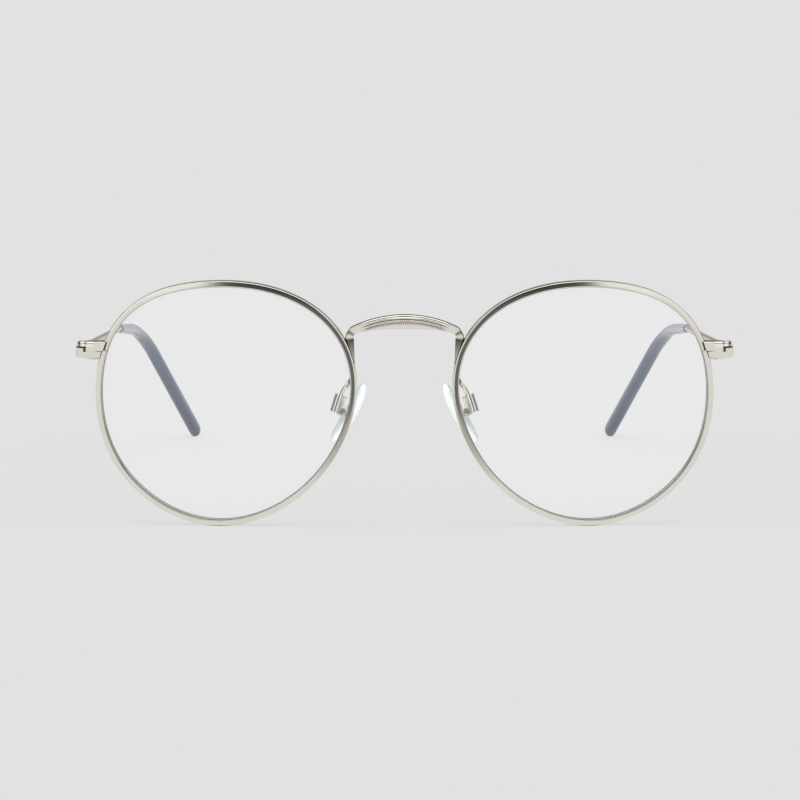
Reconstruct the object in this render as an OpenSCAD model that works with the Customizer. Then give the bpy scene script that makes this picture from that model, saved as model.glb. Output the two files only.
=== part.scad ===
// Round metal eyeglasses: two rimmed lenses, an arched bridge, screw-on nose pads and
// folding temples with acetate tips.  Millimetres, +Z up, standing on z = 0 as they do on
// a table: on the rims' lowest points and on both temple tips.  The front faces -Y and the
// temples run to +Y.  The wearer's left is +X, so every "_left" node lies at +X.

/* [Front] */
// Distance from the middle of the nose to a lens centre
lens_x = 36.55; // [36:0.05:37]
// Height of the lens centres above the table
lens_z = 25.63; // [25:0.01:27]
// Mean radius of the rims' centre line
rim_r = 25.2; // [24:0.1:26]
// Lean of the front: its top is nearer to -Y
lean = 4; // [0:0.5:6]
// Wrap of the front: the outer side of each lens is set back
wrap = 4; // [0:0.5:6]
// Radius of the lenses' front surface
lens_curve = 132.5; // [90:0.5:200]
// Thickness of a lens
lens_t = 1.8; // [1.4:0.1:2.2]

/* [Rim wire] */
// Radial thickness of the rim wire
wire_w = 1.2; // [1:0.02:1.5]
// Depth of the rim wire, front to back
wire_d = 2.2; // [1.9:0.1:2.6]
// Depth of the groove that holds the lens
groove = 0.42; // [0.3:0.02:0.5]

/* [Bridge] */
// Height of the bridge's middle line over the nose
bridge_z = 42; // [41:0.05:42.5]
// Height of the bridge strap in its middle
bridge_h = 3; // [2:0.1:3.2]
// Front-to-back thickness of the bridge strap
bridge_d = 1.5; // [1:0.1:2]
// How far the middle of the bridge stands forward of the lenses
bridge_reach = 1.45; // [0.5:0.05:2]

/* [Endpieces and hinges] */
// Outer face of the endpieces and temples, from the middle
side_x = 66.2; // [66:0.1:67]
// Front face of the endpieces, behind the lenses' front
end_y = 3.3; // [3:0.1:3.6]
// Height of the middle of the endpieces
end_z = 35.9; // [35:0.1:37]
// Height of an endpiece
end_h = 3.3; // [3:0.1:3.4]
// Thickness of the endpiece and temple straps
strap_t = 1.3; // [1.1:0.1:1.4]
// Distance of the hinge pins behind the lenses' front
pin_y = 10.2; // [10:0.1:11]
// Radius of a hinge knuckle
knuckle_r = 1.1; // [1:0.05:1.15]
// Radius of a hinge pin
pin_r = 0.6; // [0.5:0.05:0.65]

/* [Temples] */
// Height of a temple strap at the hinge
temple_h = 2.4; // [2:0.1:2.6]
// Where the acetate tips begin
tip_y = 87; // [80:1:90]
// Radius of the round wire at the back of a temple
core_r = 0.7; // [0.5:0.05:0.8]

/* [Nose pads] */
// Length of a nose pad
pad_l = 13.6; // [12:0.2:15]
// Width of a nose pad
pad_w = 7.6; // [6:0.2:8]
// Thickness of a nose pad
pad_t = 1.7; // [1.6:0.1:1.8]
// Tilt of a nose pad: its top is nearer to the nose
pad_tilt = 30; // [25:0.5:35]
// Splay of a nose pad: its back edge is farther from the nose
pad_splay = 14; // [5:1:20]

/* [Hidden] */

LEFT = 1;
RIGHT = -1;
RIM_STEPS = 96;
TIP_STEPS = 30;
// Points round a strap or a wire, and round a turned part.
RING = 16;
ROUND = 48;
EPS = 0.01;
// Half the length of a screwdriver slot's cutter, which is more than any head's radius.
SLOT_REACH = 2;

// All coordinates below start at the lenses' front; this puts the middle of the whole
// object's depth on the origin.
depth_shift = -70.32;

// ---- colours
METAL = "#d9d6cd";
DARK_METAL = "#8f8c84";
GLASS = [0.86, 0.93, 0.94, 0.35];
ACETATE = "#8f9cb4";
PAD = "#cfe3e2";

// ---- placing
module at_side(side) {
    translate([0, depth_shift, 0]) mirror([side < 0 ? 1 : 0, 0, 0]) children();
}

module at_lens() {
    translate([lens_x, 0, lens_z]) rotate([lean, 0, wrap]) children();
}

// ---- small helpers
function unit(v) = v / norm(v);
function mix(a, b, k) = a + (b - a) * k;
function ease(k) = k * k * (3 - 2 * k);
function bezier(a, b, c, d, k) =
    a * pow(1 - k, 3) + b * 3 * k * pow(1 - k, 2) + c * 3 * k * k * (1 - k) + d * pow(k, 3);
function reversed(list) = [for (i = [len(list) - 1:-1:0]) list[i]];

// Joins a row of rings, each with the same number of points, into one closed solid.
module skin(rings) {
    n = len(rings[0]);
    m = len(rings);
    points = [for (ring = rings) each ring];
    first = [for (j = [0:n - 1]) j];
    last = [for (j = [n:-1:1]) (m - 1) * n + j % n];
    walls = [for (i = [0:m - 2]) for (j = [0:n - 1]) each
        let (a = i * n + j, b = i * n + (j + 1) % n)
        [[a, a + n, b + n], [a, b + n, b]]];
    polyhedron(points = points, faces = concat([first], walls, [last]), convexity = 8);
}

// A ring of n points around p, across the direction "along": a rounded oblong that is
// w wide towards "side" and h high.
function strap_ring(p, along, side, w, h, n, power) =
    let (
        up = unit(cross(side, along)),
        out = cross(along, up)
    )
    [for (j = [0:n - 1]) let (
        c = cos(360 * j / n),
        s = sin(360 * j / n)
    ) p + out * w / 2 * sign(c) * pow(abs(c), power) + up * h / 2 * sign(s) * pow(abs(s), power)];

// ---- the lens outline
// Radius of the rims' centre line at the angle t, which starts at the temple side and
// turns upwards: a circle with a few gentle lobes, which give the two upper shoulders.
tilt_lobe = 0.73;
shoulder_lobe = 0.85;
square_lobe = 0.21;
crown_lobe = 0.07;
corner_lobe = 0.085;
function outline(t) = rim_r
    + tilt_lobe * cos(2 * (t + 15.6))
    + shoulder_lobe * cos(3 * (t - 37.4))
    + square_lobe * cos(4 * (t + 38))
    + crown_lobe * cos(5 * (t - 42))
    + corner_lobe * cos(6 * (t + 21));

// Depth of the front surface of a lens at the radius r.
function sag(r) = lens_curve - sqrt(lens_curve * lens_curve - r * r);

function flat(t, r) = [r * cos(t), 0, r * sin(t)];
function outward(t) =
    let (d = flat(t + 0.5, outline(t + 0.5)) - flat(t - 0.5, outline(t - 0.5)))
    unit([d[2], 0, -d[0]]);

// A point beside the rim's centre line: out across the wire, back along its depth.
function rim_point(t, out, back) =
    flat(t, outline(t)) + outward(t) * out + [0, sag(outline(t)) + lens_t / 2 + back, 0];

// The same point in the coordinates of the whole front.
function placed(p) =
    let (
        leaned = [p[0], p[1] * cos(lean) - p[2] * sin(lean), p[1] * sin(lean) + p[2] * cos(lean)]
    )
    [
        lens_x + leaned[0] * cos(wrap) - leaned[1] * sin(wrap),
        leaned[0] * sin(wrap) + leaned[1] * cos(wrap),
        lens_z + leaned[2],
    ];

// ---- rims and lenses
// The rim is cut at the endpiece, where the closing blocks draw its two ends together.
split_t = 22.8;
split_gap = 0.5;
groove_mouth = 0.5;
bead = 0.2;

function wire_section() = let (w = wire_w / 2, d = wire_d / 2) [
    [groove - w, 0],
    [-w, groove_mouth],
    [-w, d - bead],
    [bead - w, d],
    [w - 2 * bead, d],
    [w - bead / 2, d - bead],
    [w, d / 2],
    [w, -d / 2],
    [w - bead / 2, bead - d],
    [w - 2 * bead, -d],
    [bead - w, -d],
    [-w, bead - d],
    [-w, -groove_mouth],
];

module rim(side) {
    first = split_t + split_gap / 2;
    turn = 360 - split_gap;
    color(METAL) at_side(side) at_lens() skin([
        for (i = [0:RIM_STEPS]) let (t = first + turn * i / RIM_STEPS)
            [for (q = wire_section()) rim_point(t, q[0], q[1])]
    ]);
}

// One ring of points on a lens: the share k of the way from the centre to the edge, or
// at the distance "out" from the rim's centre line, and "back" behind the front surface.
function lens_ring(k, out, back) = [
    for (i = [0:RIM_STEPS - 1]) let (
        t = 360 * i / RIM_STEPS,
        edge = flat(t, outline(t)) + outward(t) * out,
        p = edge * k
    ) [p[0], (k < 1 ? sag(norm(p)) : sag(outline(t))) + back, p[2]]
];

lens_slack = 0.03;

module lens(side) {
    inner = -wire_w / 2 - lens_slack;
    middle = lens_t / 2;
    bevel = groove_mouth - lens_slack;
    shares = [0.06, 0.35, 0.68];
    color(GLASS) at_side(side) at_lens() skin(concat(
        [for (k = shares) lens_ring(k, inner, 0)],
        [
            lens_ring(1, inner, 0),
            lens_ring(1, inner, middle - bevel),
            lens_ring(1, inner + groove, middle),
            lens_ring(1, inner, middle + bevel),
            lens_ring(1, inner, lens_t),
        ],
        [for (k = reversed(shares)) lens_ring(k, inner, lens_t)]
    ));
}

// ---- bridge
// Depth to which soldered pieces run into each other.
solder = 0.06;
// Half of the bridge's middle line, in stations of [point, direction, height, depth]:
// the arch, the knee that turns down, and the foot that lies along the rim.
arch_end = 9.6;
arch_drop = 1.6;
arch_end_back = 0.55;
arch_end_h = 1.7;
arch_taper = 1.6;
knee_leave = 1.3;
knee_arrive = 0.9;
foot_top = 154.5;
foot_bottom = 164;
foot_h = 1.65;
foot_tip_h = 0.25;
foot_taper = 1.5;
foot_d = 1.7;
foot_tip_d = 1.1;
foot_forward = 0.1;
bridge_squareness = 0.7;

function arch_point(x) = [
    x,
    mix(-bridge_reach, arch_end_back, ease(min(1, x / arch_end))),
    bridge_z - arch_drop * pow(x / arch_end, 2),
];
function foot_width(k) = mix(foot_tip_h, foot_h, pow(1 - k, foot_taper));
function foot_point(k) =
    let (out = (wire_w + foot_width(k)) / 2 - solder)
    placed(rim_point(mix(foot_top, foot_bottom, k), out, -foot_forward));

function bridge_half() =
    let (
        a = arch_point(arch_end),
        leave = unit(a - arch_point(arch_end - 0.2)),
        f = foot_point(0),
        arrive = unit(foot_point(0.1) - f)
    )
    concat(
        [for (i = [0:9]) let (k = i / 10)
            [arch_point(arch_end * k), mix(bridge_h, arch_end_h, pow(k, arch_taper)), bridge_d]],
        [for (i = [0:7]) let (k = i / 8)
            [bezier(a, a + leave * knee_leave, f - arrive * knee_arrive, f, k),
             mix(arch_end_h, foot_h, k), mix(bridge_d, foot_d, k)]],
        [for (i = [0:5]) let (k = i / 5)
            [foot_point(k), foot_width(k), mix(foot_d, foot_tip_d, k)]]
    );

function flipped(s) = [[-s[0][0], s[0][1], s[0][2]], s[1], s[2]];

module bridge() {
    half = bridge_half();
    stations = concat(
        [for (i = [len(half) - 1:-1:1]) flipped(half[i])],
        half
    );
    last = len(stations) - 1;
    color(METAL) translate([0, depth_shift, 0]) skin([
        for (i = [0:last]) let (
            ahead = stations[min(last, i + 1)][0] - stations[max(0, i - 1)][0],
            run = unit([ahead[0], 0, ahead[2]]),
            up = [-run[2], 0, run[0]],
            s = stations[i]
        ) [for (j = [0:RING - 1]) let (
            c = cos(360 * j / RING),
            q = sin(360 * j / RING)
        ) s[0]
            + up * s[1] / 2 * sign(c) * pow(abs(c), bridge_squareness)
            + [0, s[2] / 2 * sign(q) * pow(abs(q), bridge_squareness), 0]]
    ]);
}

// ---- endpieces, closing blocks and their screws
strap_inner = side_x - strap_t;
end_top = end_z + end_h / 2;
end_bottom = end_z - end_h / 2;
plate_inner = 59;
plate_back = end_y + strap_t;
butt_gap = 0.05;
block_back = 6.5;
block_outer = 64;
block_split = end_z - 0.35;
block_gap = 0.2;
block_step = 0.1;
block_bottom = end_z - 2.1;
lock_x = 62.65;
lock_y = 5.35;
lock_r = 0.55;
lock_slack = 0.05;
lock_head_r = 0.9;
lock_head_h = 0.7;
lock_top = end_z + 1;

module box(from, to) {
    translate(from) cube(to - from);
}

// The strap narrows to the hinge's height by this depth.
low_from = 7.4;
hinge_z = 35.5;

// The strap's plan: a front plate that turns back round the corner to the hinge.
module endpiece_plan() {
    corner_r = 2.2;
    translate([plate_inner, end_y]) square([side_x - corner_r - plate_inner, strap_t]);
    translate([strap_inner, end_y + corner_r])
        square([strap_t, pin_y - butt_gap - end_y - corner_r]);
    translate([side_x - corner_r, end_y + corner_r]) intersection() {
        difference() {
            circle(r = corner_r, $fn = ROUND);
            circle(r = corner_r - strap_t, $fn = ROUND);
        }
        translate([0, -corner_r]) square([corner_r, corner_r]);
    }
}

// The strap's side view: full height at the front, lower towards the hinge.
module endpiece_profile() {
    rotate([90, 0, 90]) linear_extrude(side_x + 1) polygon([
        [end_y - 1, end_bottom],
        [end_y + strap_t, end_bottom],
        [low_from, hinge_z - temple_h / 2],
        [pin_y + 1, hinge_z - temple_h / 2],
        [pin_y + 1, hinge_z + temple_h / 2],
        [low_from, hinge_z + temple_h / 2],
        [end_y + strap_t, end_top],
        [end_y - 1, end_top],
    ]);
}

// Clears the side of the rim, where the endpiece and the closing block are soldered on.
module rim_seat() {
    seat = placed(rim_point(split_t, wire_w / 2 - solder, 0));
    turn = atan2(outward(split_t)[2], outward(split_t)[0]);
    reach = 5;
    translate(seat) rotate([0, -turn, 0]) box([-reach, -reach, -reach], [0, reach, reach]);
}

module endpiece(side) {
    color(METAL) at_side(side) difference() {
        union() {
            intersection() {
                translate([0, 0, end_bottom]) linear_extrude(end_h) endpiece_plan();
                endpiece_profile();
            }
            // upper closing block behind the plate
            box([plate_inner, plate_back - EPS, block_split + block_gap / 2],
                [block_outer, block_back, end_top]);
        }
        translate([lock_x, lock_y, block_bottom])
            cylinder(r = lock_r, h = lock_top - block_bottom, $fn = ROUND);
        rim_seat();
    }
}

module closing_block(side) {
    color(METAL) at_side(side) difference() {
        box([plate_inner, plate_back + block_step, block_bottom],
            [block_outer, block_back, block_split - block_gap / 2]);
        translate([lock_x, lock_y, block_bottom - EPS])
            cylinder(r = lock_r + lock_slack, h = lock_top - block_bottom, $fn = ROUND);
        translate([lock_x, lock_y, block_bottom - EPS])
            cylinder(r1 = lock_head_r + EPS, r2 = lock_r, h = lock_head_h, $fn = ROUND);
        rim_seat();
    }
}

module lens_screw(side) {
    slot_w = 0.22;
    slot_h = 0.3;
    color(DARK_METAL) at_side(side) translate([lock_x, lock_y, block_bottom]) difference() {
        union() {
            cylinder(r = lock_r, h = lock_top - block_bottom, $fn = ROUND);
            cylinder(r1 = lock_head_r, r2 = lock_r, h = lock_head_h, $fn = ROUND);
        }
        box([-SLOT_REACH, -slot_w / 2, -EPS], [SLOT_REACH, slot_w / 2, slot_h - EPS]);
    }
}

// ---- hinges
pin_x = strap_inner - knuckle_r - 0.1;
hinge_bottom = hinge_z - 1.75;
hinge_top = hinge_z + 1.15;
hinge_gap = 0.05;
middle_bottom = hinge_z - 0.8;
middle_top = hinge_z + 0.3;
leaf_inner = pin_x + 0.2;
leaf_reach = 1.35;
web_reach = 2;
temple_leaf_y = 15;
leaf_h = 1.9;
head_r = 0.95;
head_h = 0.3;
pin_slack = 0.03;

module knuckle(bottom, top) {
    translate([pin_x, pin_y, bottom]) cylinder(r = knuckle_r, h = top - bottom, $fn = ROUND);
}

module pin_hole(r) {
    translate([pin_x, pin_y, hinge_bottom - 1])
        cylinder(r = r, h = hinge_top - hinge_bottom + 2, $fn = ROUND);
}

module hinge_front(side) {
    levels = [[hinge_bottom, middle_bottom - hinge_gap], [middle_top + hinge_gap, hinge_top]];
    color(METAL) at_side(side) difference() {
        union() {
            box([leaf_inner, low_from, hinge_bottom],
                [strap_inner, pin_y - leaf_reach, hinge_top]);
            for (z = levels) {
                knuckle(z[0], z[1]);
                box([leaf_inner, low_from, z[0]],
                    [pin_x + knuckle_r, pin_y, z[1]]);
            }
        }
        pin_hole(pin_r);
    }
}

module hinge_temple(side) {
    color(METAL) at_side(side) difference() {
        union() {
            knuckle(middle_bottom, middle_top);
            box([leaf_inner, pin_y, middle_bottom],
                [pin_x + knuckle_r, pin_y + web_reach, middle_top]);
            box([leaf_inner, pin_y + leaf_reach, hinge_z - leaf_h / 2],
                [strap_inner, temple_leaf_y, hinge_z + leaf_h / 2]);
        }
        pin_hole(pin_r + pin_slack);
    }
}

module hinge_screw(side) {
    slot_w = 0.25;
    slot_h = 0.2;
    color(DARK_METAL) at_side(side) translate([pin_x, pin_y, 0]) difference() {
        union() {
            translate([0, 0, hinge_bottom])
                cylinder(r = pin_r, h = hinge_top - hinge_bottom, $fn = ROUND);
            translate([0, 0, hinge_top]) cylinder(r = head_r, h = head_h, $fn = ROUND);
        }
        box([-SLOT_REACH, -slot_w / 2, hinge_top + head_h - slot_h],
            [SLOT_REACH, slot_w / 2, hinge_top + head_h + EPS]);
    }
}

// ---- temples and tips
temple_x = side_x - strap_t / 2;
temple_start = [temple_x, pin_y + butt_gap, hinge_z];
temple_knee = [64.2, tip_y, 31.9];
bend_start = [62.6, 99, 30.5];
bend_end = [59, 116.5, 23.2];
tip_end = [50.9, 141, 1.92];
bend_reach = 5.2;
core_end = 0.8;
tip_w = [2.1, 2.9];
tip_h = [2.2, 4.2];
tip_squareness = 0.8;

// The middle line of a temple: its straight arm, then the bend behind the ear.
function arm_point(k) = mix(temple_start, temple_knee, k);
function tip_line(k) =
    let (
        straight = unit(bend_start - temple_knee),
        drop = unit(tip_end - bend_end),
        bend = 0.5,
        lead = 0.2
    )
    k < lead ? mix(temple_knee, bend_start, k / lead)
    : k < bend ? bezier(bend_start, bend_start + straight * bend_reach,
                        bend_end - drop * bend_reach, bend_end, (k - lead) / (bend - lead))
    : mix(bend_end, tip_end, (k - bend) / (1 - bend));
function tip_way(k) = unit(tip_line(min(1, k + 0.01)) - tip_line(max(0, k - 0.01)));

// The tips are flat in the plane of their bend.
tip_side = unit(cross(bend_start - temple_knee, tip_end - bend_end)) * -1;

function core_ring(k) =
    strap_ring(tip_line(k), tip_way(k), tip_side, 2 * core_r, 2 * core_r, RING, 1);

module temple(side) {
    arm_way = unit(temple_knee - temple_start);
    arm_steps = 16;
    round_from = 0.3;
    crowding = 1.3;
    core_stop = ceil(TIP_STEPS * core_end);
    flatten = 0.45;
    color(METAL) at_side(side) skin(concat(
        [strap_ring(temple_start, [0, 1, 0], [1, 0, 0], strap_t, temple_h, RING, flatten)],
        [for (i = [1:arm_steps - 1])
            let (k = pow(i / arm_steps, crowding), e = ease(min(1, k / round_from)))
            strap_ring(arm_point(k), arm_way, unit(mix([1, 0, 0], tip_side, k)),
                       mix(strap_t, 2 * core_r, e), mix(temple_h, 2 * core_r, e), RING,
                       mix(flatten, 1, e))],
        [for (i = [0:core_stop]) core_ring(i / TIP_STEPS)]
    ));
}

module temple_tip(side) {
    core_stop = ceil(TIP_STEPS * core_end);
    caps = 4;
    cap_turn = 80;
    full_at = 0.5;
    round_r = 1.6;
    inside = [for (i = [core_stop:-1:0]) core_ring(i / TIP_STEPS)];
    outside = [for (i = [0:TIP_STEPS]) let (k = i / TIP_STEPS, e = ease(min(1, k / full_at)))
        strap_ring(tip_line(k), tip_way(k), tip_side, mix(tip_w[0], tip_w[1], e),
                   mix(tip_h[0], tip_h[1], k), RING, tip_squareness)];
    round_end = [for (i = [1:caps]) let (a = cap_turn * i / caps, way = tip_way(1))
        strap_ring(tip_end + way * sin(a) * round_r, way, tip_side, tip_w[1] * cos(a),
                   tip_h[1] * cos(a), RING, tip_squareness)];
    color(ACETATE) at_side(side) skin(concat(inside, outside, round_end));
}

// ---- nose pads
pad_pin = [12.7, 8, 23.1];
pad_reach = 1.95;
pad_rise = 0.2;
pad_bow = 0.4;
pad_end_rounding = 0.62;
pad_fullness = 0.16;
box_tilt = 13;
box_w = 1.5;
ear_t = 0.5;
ear_r = 0.8;
ear_drop = 0.4;
wall_t = 0.5;
box_h = 2.9;
box_back = 1.1;
lug_t = 1.3;
lug_r = 0.7;
lug_embed = 0.25;
pad_pin_r = 0.36;
pad_pin_slack = 0.03;
pad_head_r = 0.58;
pad_head_h = 0.28;

// The pads' own axes, with the pin at the origin: +X to the nose, through the pad, +Y
// along the pin to the back and +Z up the pad.
module at_pad(tilt = pad_tilt) {
    translate(pad_pin) rotate([0, 0, -pad_splay]) rotate([0, -tilt, 0])
        rotate([0, 0, 180]) mirror([0, 1, 0]) children();
}

// The pad's outline: an oval that is fuller at its lower end.
function pad_ring(share, x) = [
    for (i = [0:31]) let (
        a = 360 * i / 32,
        z = pad_l / 2 * mix(1, share, pad_end_rounding) * sin(a)
    ) [
        x - pad_bow * pow(2 * z / pad_l, 2),
        pad_w / 2 * share * cos(a) * (1 - pad_fullness * sin(a)),
        z,
    ]
];

module nose_pad(side) {
    levels = [[0.62, -0.5], [0.9, -0.36], [1, 0], [0.94, 0.32], [0.75, 0.46], [0.35, 0.5]];
    color(PAD) at_side(side) at_pad() translate([pad_reach, 0, pad_rise]) skin([
        for (q = levels) pad_ring(q[0], pad_t * q[1])
    ]);
}

module pad_mount(side) {
    foot_x = pad_reach - pad_t * 0.5;
    color(DARK_METAL) at_side(side) at_pad() difference() {
        union() {
            rotate([90, 0, 0]) cylinder(r = lug_r, h = lug_t, center = true, $fn = ROUND);
            box([0, -lug_t / 2, -lug_r], [foot_x + lug_embed, lug_t / 2, lug_r]);
        }
        rotate([90, 0, 0])
            cylinder(r = pad_pin_r + pad_pin_slack, h = 2 * lug_t, center = true, $fn = ROUND);
    }
}

module pad_box(side) {
    outer = box_w / 2 + ear_t;
    color(METAL) at_side(side) at_pad(box_tilt) difference() {
        union() {
            for (y = [-outer, box_w / 2]) {
                for (z = [0, -ear_drop]) translate([0, y + ear_t, z]) rotate([90, 0, 0])
                    cylinder(r = ear_r, h = ear_t, $fn = ROUND);
                box([-box_back, y, -ear_r / 2], [0, y + ear_t, box_h]);
            }
            box([-box_back - wall_t, -outer, -ear_r], [-box_back, outer, box_h]);
            box([-box_back, -outer, box_h - wall_t], [0, outer, box_h]);
        }
        rotate([90, 0, 0])
            cylinder(r = pad_pin_r, h = 2 * outer + 1, center = true, $fn = ROUND);
    }
}

module pad_screw(side) {
    outer = box_w / 2 + ear_t;
    slot_w = 0.2;
    slot_h = 0.2;
    face = outer + pad_head_h;
    color(DARK_METAL) at_side(side) at_pad() difference() {
        rotate([90, 0, 0]) union() {
            cylinder(r = pad_pin_r, h = 2 * outer, center = true, $fn = ROUND);
            translate([0, 0, outer]) cylinder(r = pad_head_r, h = pad_head_h, $fn = ROUND);
        }
        box([-SLOT_REACH, -face - EPS, -slot_w / 2], [SLOT_REACH, slot_h - face, slot_w / 2]);
    }
}

arm_wire_r = 0.5;
arm_root = [10.65, 2.4, 29.6];
arm_leave = [0.1, 5.5, -0.5];
arm_arrive = [-0.5, 0.3, 1.8];
arm_foot = [12.85, 8.1, 25.75];

module pad_arm(side) {
    steps = 16;
    sides = 10;
    line = [for (i = [0:steps])
        bezier(arm_root, arm_root + arm_leave, arm_foot + arm_arrive, arm_foot, i / steps)];
    color(METAL) at_side(side) skin([
        for (i = [0:steps]) let (
            way = unit(line[min(steps, i + 1)] - line[max(0, i - 1)]),
            across = unit(cross(way, [1, 0, 0])),
            over = cross(across, way)
        ) [for (j = [0:sides - 1]) let (a = 360 * j / sides)
            line[i] + across * arm_wire_r * cos(a) - over * arm_wire_r * sin(a)]
    ]);
}

bridge();
rim(RIGHT);  // rim_right
rim(LEFT);  // rim_left
lens(RIGHT);  // lens_right
lens(LEFT);  // lens_left
endpiece(RIGHT);  // endpiece_right
endpiece(LEFT);  // endpiece_left
closing_block(RIGHT);  // closing_block_right
closing_block(LEFT);  // closing_block_left
lens_screw(RIGHT);  // lens_screw_right
lens_screw(LEFT);  // lens_screw_left
hinge_front(RIGHT);  // hinge_front_right
hinge_front(LEFT);  // hinge_front_left
hinge_temple(RIGHT);  // hinge_temple_right
hinge_temple(LEFT);  // hinge_temple_left
hinge_screw(RIGHT);  // hinge_screw_right
hinge_screw(LEFT);  // hinge_screw_left
temple(RIGHT);  // temple_right
temple(LEFT);  // temple_left
temple_tip(RIGHT);  // temple_tip_right
temple_tip(LEFT);  // temple_tip_left
pad_arm(RIGHT);  // pad_arm_right
pad_arm(LEFT);  // pad_arm_left
pad_box(RIGHT);  // pad_box_right
pad_box(LEFT);  // pad_box_left
pad_mount(RIGHT);  // pad_mount_right
pad_mount(LEFT);  // pad_mount_left
pad_screw(RIGHT);  // pad_screw_right
pad_screw(LEFT);  // pad_screw_left
nose_pad(RIGHT);  // nose_pad_right
nose_pad(LEFT);  // nose_pad_left
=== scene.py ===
"""Round wire eyeglasses: the finished pieces, built round the packed frame.

Each piece is modelled on the wearer's left side, +X, and copied across for the right.
Shapes are worked out in millimetres from the lenses' front, then seated in the frame.
"""

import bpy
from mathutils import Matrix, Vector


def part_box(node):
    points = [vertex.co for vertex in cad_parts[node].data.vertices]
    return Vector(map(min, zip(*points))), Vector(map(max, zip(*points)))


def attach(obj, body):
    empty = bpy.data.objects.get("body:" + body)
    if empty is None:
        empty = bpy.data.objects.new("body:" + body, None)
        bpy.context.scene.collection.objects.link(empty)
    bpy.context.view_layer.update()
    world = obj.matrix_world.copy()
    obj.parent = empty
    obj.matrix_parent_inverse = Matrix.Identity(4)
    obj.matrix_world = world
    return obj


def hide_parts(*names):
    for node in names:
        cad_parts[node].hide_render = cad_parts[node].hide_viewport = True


bl_info = {
    "name": "Round Wire Eyeglasses",
    "version": (1, 0, 0),
    "blender": (4, 5, 0),
    "location": "3D View > Sidebar > Eyeglasses",
    "description": "Builds the finished pieces of a pair of round wire eyeglasses",
    "category": "Add Mesh",
}

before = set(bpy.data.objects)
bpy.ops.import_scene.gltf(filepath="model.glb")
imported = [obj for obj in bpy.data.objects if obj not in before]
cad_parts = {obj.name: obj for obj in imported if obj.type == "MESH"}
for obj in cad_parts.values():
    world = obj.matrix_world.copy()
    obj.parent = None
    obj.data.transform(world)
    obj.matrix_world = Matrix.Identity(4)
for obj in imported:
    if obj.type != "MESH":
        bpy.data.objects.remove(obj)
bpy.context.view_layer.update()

import math

import bpy
from bpy.props import FloatProperty, IntProperty, PointerProperty, StringProperty
from mathutils import Matrix, Vector

MM = 0.001
UP = Vector((0, 0, 1))


def middle(node):
    """The middle of a frame node's box, in millimetres."""
    low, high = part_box(node)
    return (low + high) / 2 / MM


# The hinge pins stand this far behind the lenses' front, which is where depths start.
PIN_DEPTH = 10.2
FRONT_Y = middle("hinge_screw_left").y - PIN_DEPTH
PIN = middle("hinge_screw_left") - Vector((0, FRONT_Y, 0))
LENS_X = 36.55
LENS_Z = 25.63
LEAN = math.radians(4)
WRAP = math.radians(4)
LENS_CURVE = 132.5
SEAT = Matrix.Translation((0, FRONT_Y * MM, 0))


# ---- small helpers

def unit(v):
    return v.normalized()


def mix(a, b, k):
    return a + (b - a) * k


def ease(k):
    k = min(1, max(0, k))
    return k * k * (3 - 2 * k)


def bezier(a, b, c, d, k):
    j = 1 - k
    return a * j ** 3 + b * (3 * k * j * j) + c * (3 * k * k * j) + d * k ** 3


def power(value, exponent):
    return math.copysign(abs(value) ** exponent, value)


def arc(x, y, radius, start, stop, steps):
    """Points on an arc round (x, y), from one angle to another, in degrees."""
    angles = [math.radians(mix(start, stop, i / steps)) for i in range(steps + 1)]
    return [(x + radius * math.cos(a), y + radius * math.sin(a)) for a in angles]


def linear(code):
    """An sRGB hex colour as linear red, green, blue and alpha."""
    parts = [int(code[i:i + 2], 16) / 255 for i in (1, 3, 5)]
    bent = [c / 12.92 if c <= 0.04045 else ((c + 0.055) / 1.055) ** 2.4 for c in parts]
    return (*bent, 1.0)


def edit(*steps):
    """Goes into edit mode with everything selected, runs the steps and comes back."""
    bpy.ops.object.mode_set(mode="EDIT")
    bpy.ops.mesh.select_mode(type="VERT")
    bpy.ops.mesh.select_all(action="SELECT")
    for step in steps:
        step()
    bpy.ops.object.mode_set(mode="OBJECT")


def face_out():
    bpy.ops.mesh.select_all(action="SELECT")
    bpy.ops.mesh.normals_make_consistent(inside=False)


def close_seam():
    bpy.ops.mesh.remove_doubles(threshold=0.002 * MM)


def close_ends():
    bpy.ops.mesh.select_all(action="DESELECT")
    bpy.ops.mesh.select_non_manifold()
    bpy.ops.mesh.fill_holes(sides=0)


def only(piece):
    """Makes one object the selected and active one."""
    bpy.ops.object.select_all(action="DESELECT")
    piece.select_set(True)
    bpy.context.view_layer.objects.active = piece


def skin(name, rings, painted_shade=None):
    """A closed wall over a row of rings of points, in millimetres.

    It starts as a grid with a row of vertices for each ring. Every row is moved to its
    ring, the seam is merged and the ends are filled. The grid's own UV map then runs
    round the piece in U and along it in V. The last argument gives each point's share of painted
    shade.
    """
    bpy.ops.object.select_all(action="DESELECT")
    bpy.ops.mesh.primitive_grid_add(
        x_subdivisions=len(rings[0]), y_subdivisions=len(rings) - 1, size=1, calc_uvs=True
    )
    piece = bpy.context.object
    piece.name = name
    places = [c * MM for ring in rings for p in (*ring, ring[0]) for c in p]
    if len(places) != 3 * len(piece.data.vertices):
        raise RuntimeError(f"{name}: the grid does not fit its rings")
    piece.data.vertices.foreach_set("co", places)
    if painted_shade:
        deep = piece.data.attributes.new("painted_shade", "FLOAT", "POINT")
        deep.data.foreach_set("value", [k for row in painted_shade for k in (*row, row[0])])
    piece.data.update()
    edit(close_seam, close_ends, face_out)
    return piece


def turned(name, profile, sides=40):
    """A piece turned round Z from (radius, height) pairs, in millimetres."""
    ring = [math.tau * i / sides for i in range(sides)]
    return skin(name, [[(r * math.cos(a), r * math.sin(a), z) for a in ring] for r, z in profile])


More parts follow.
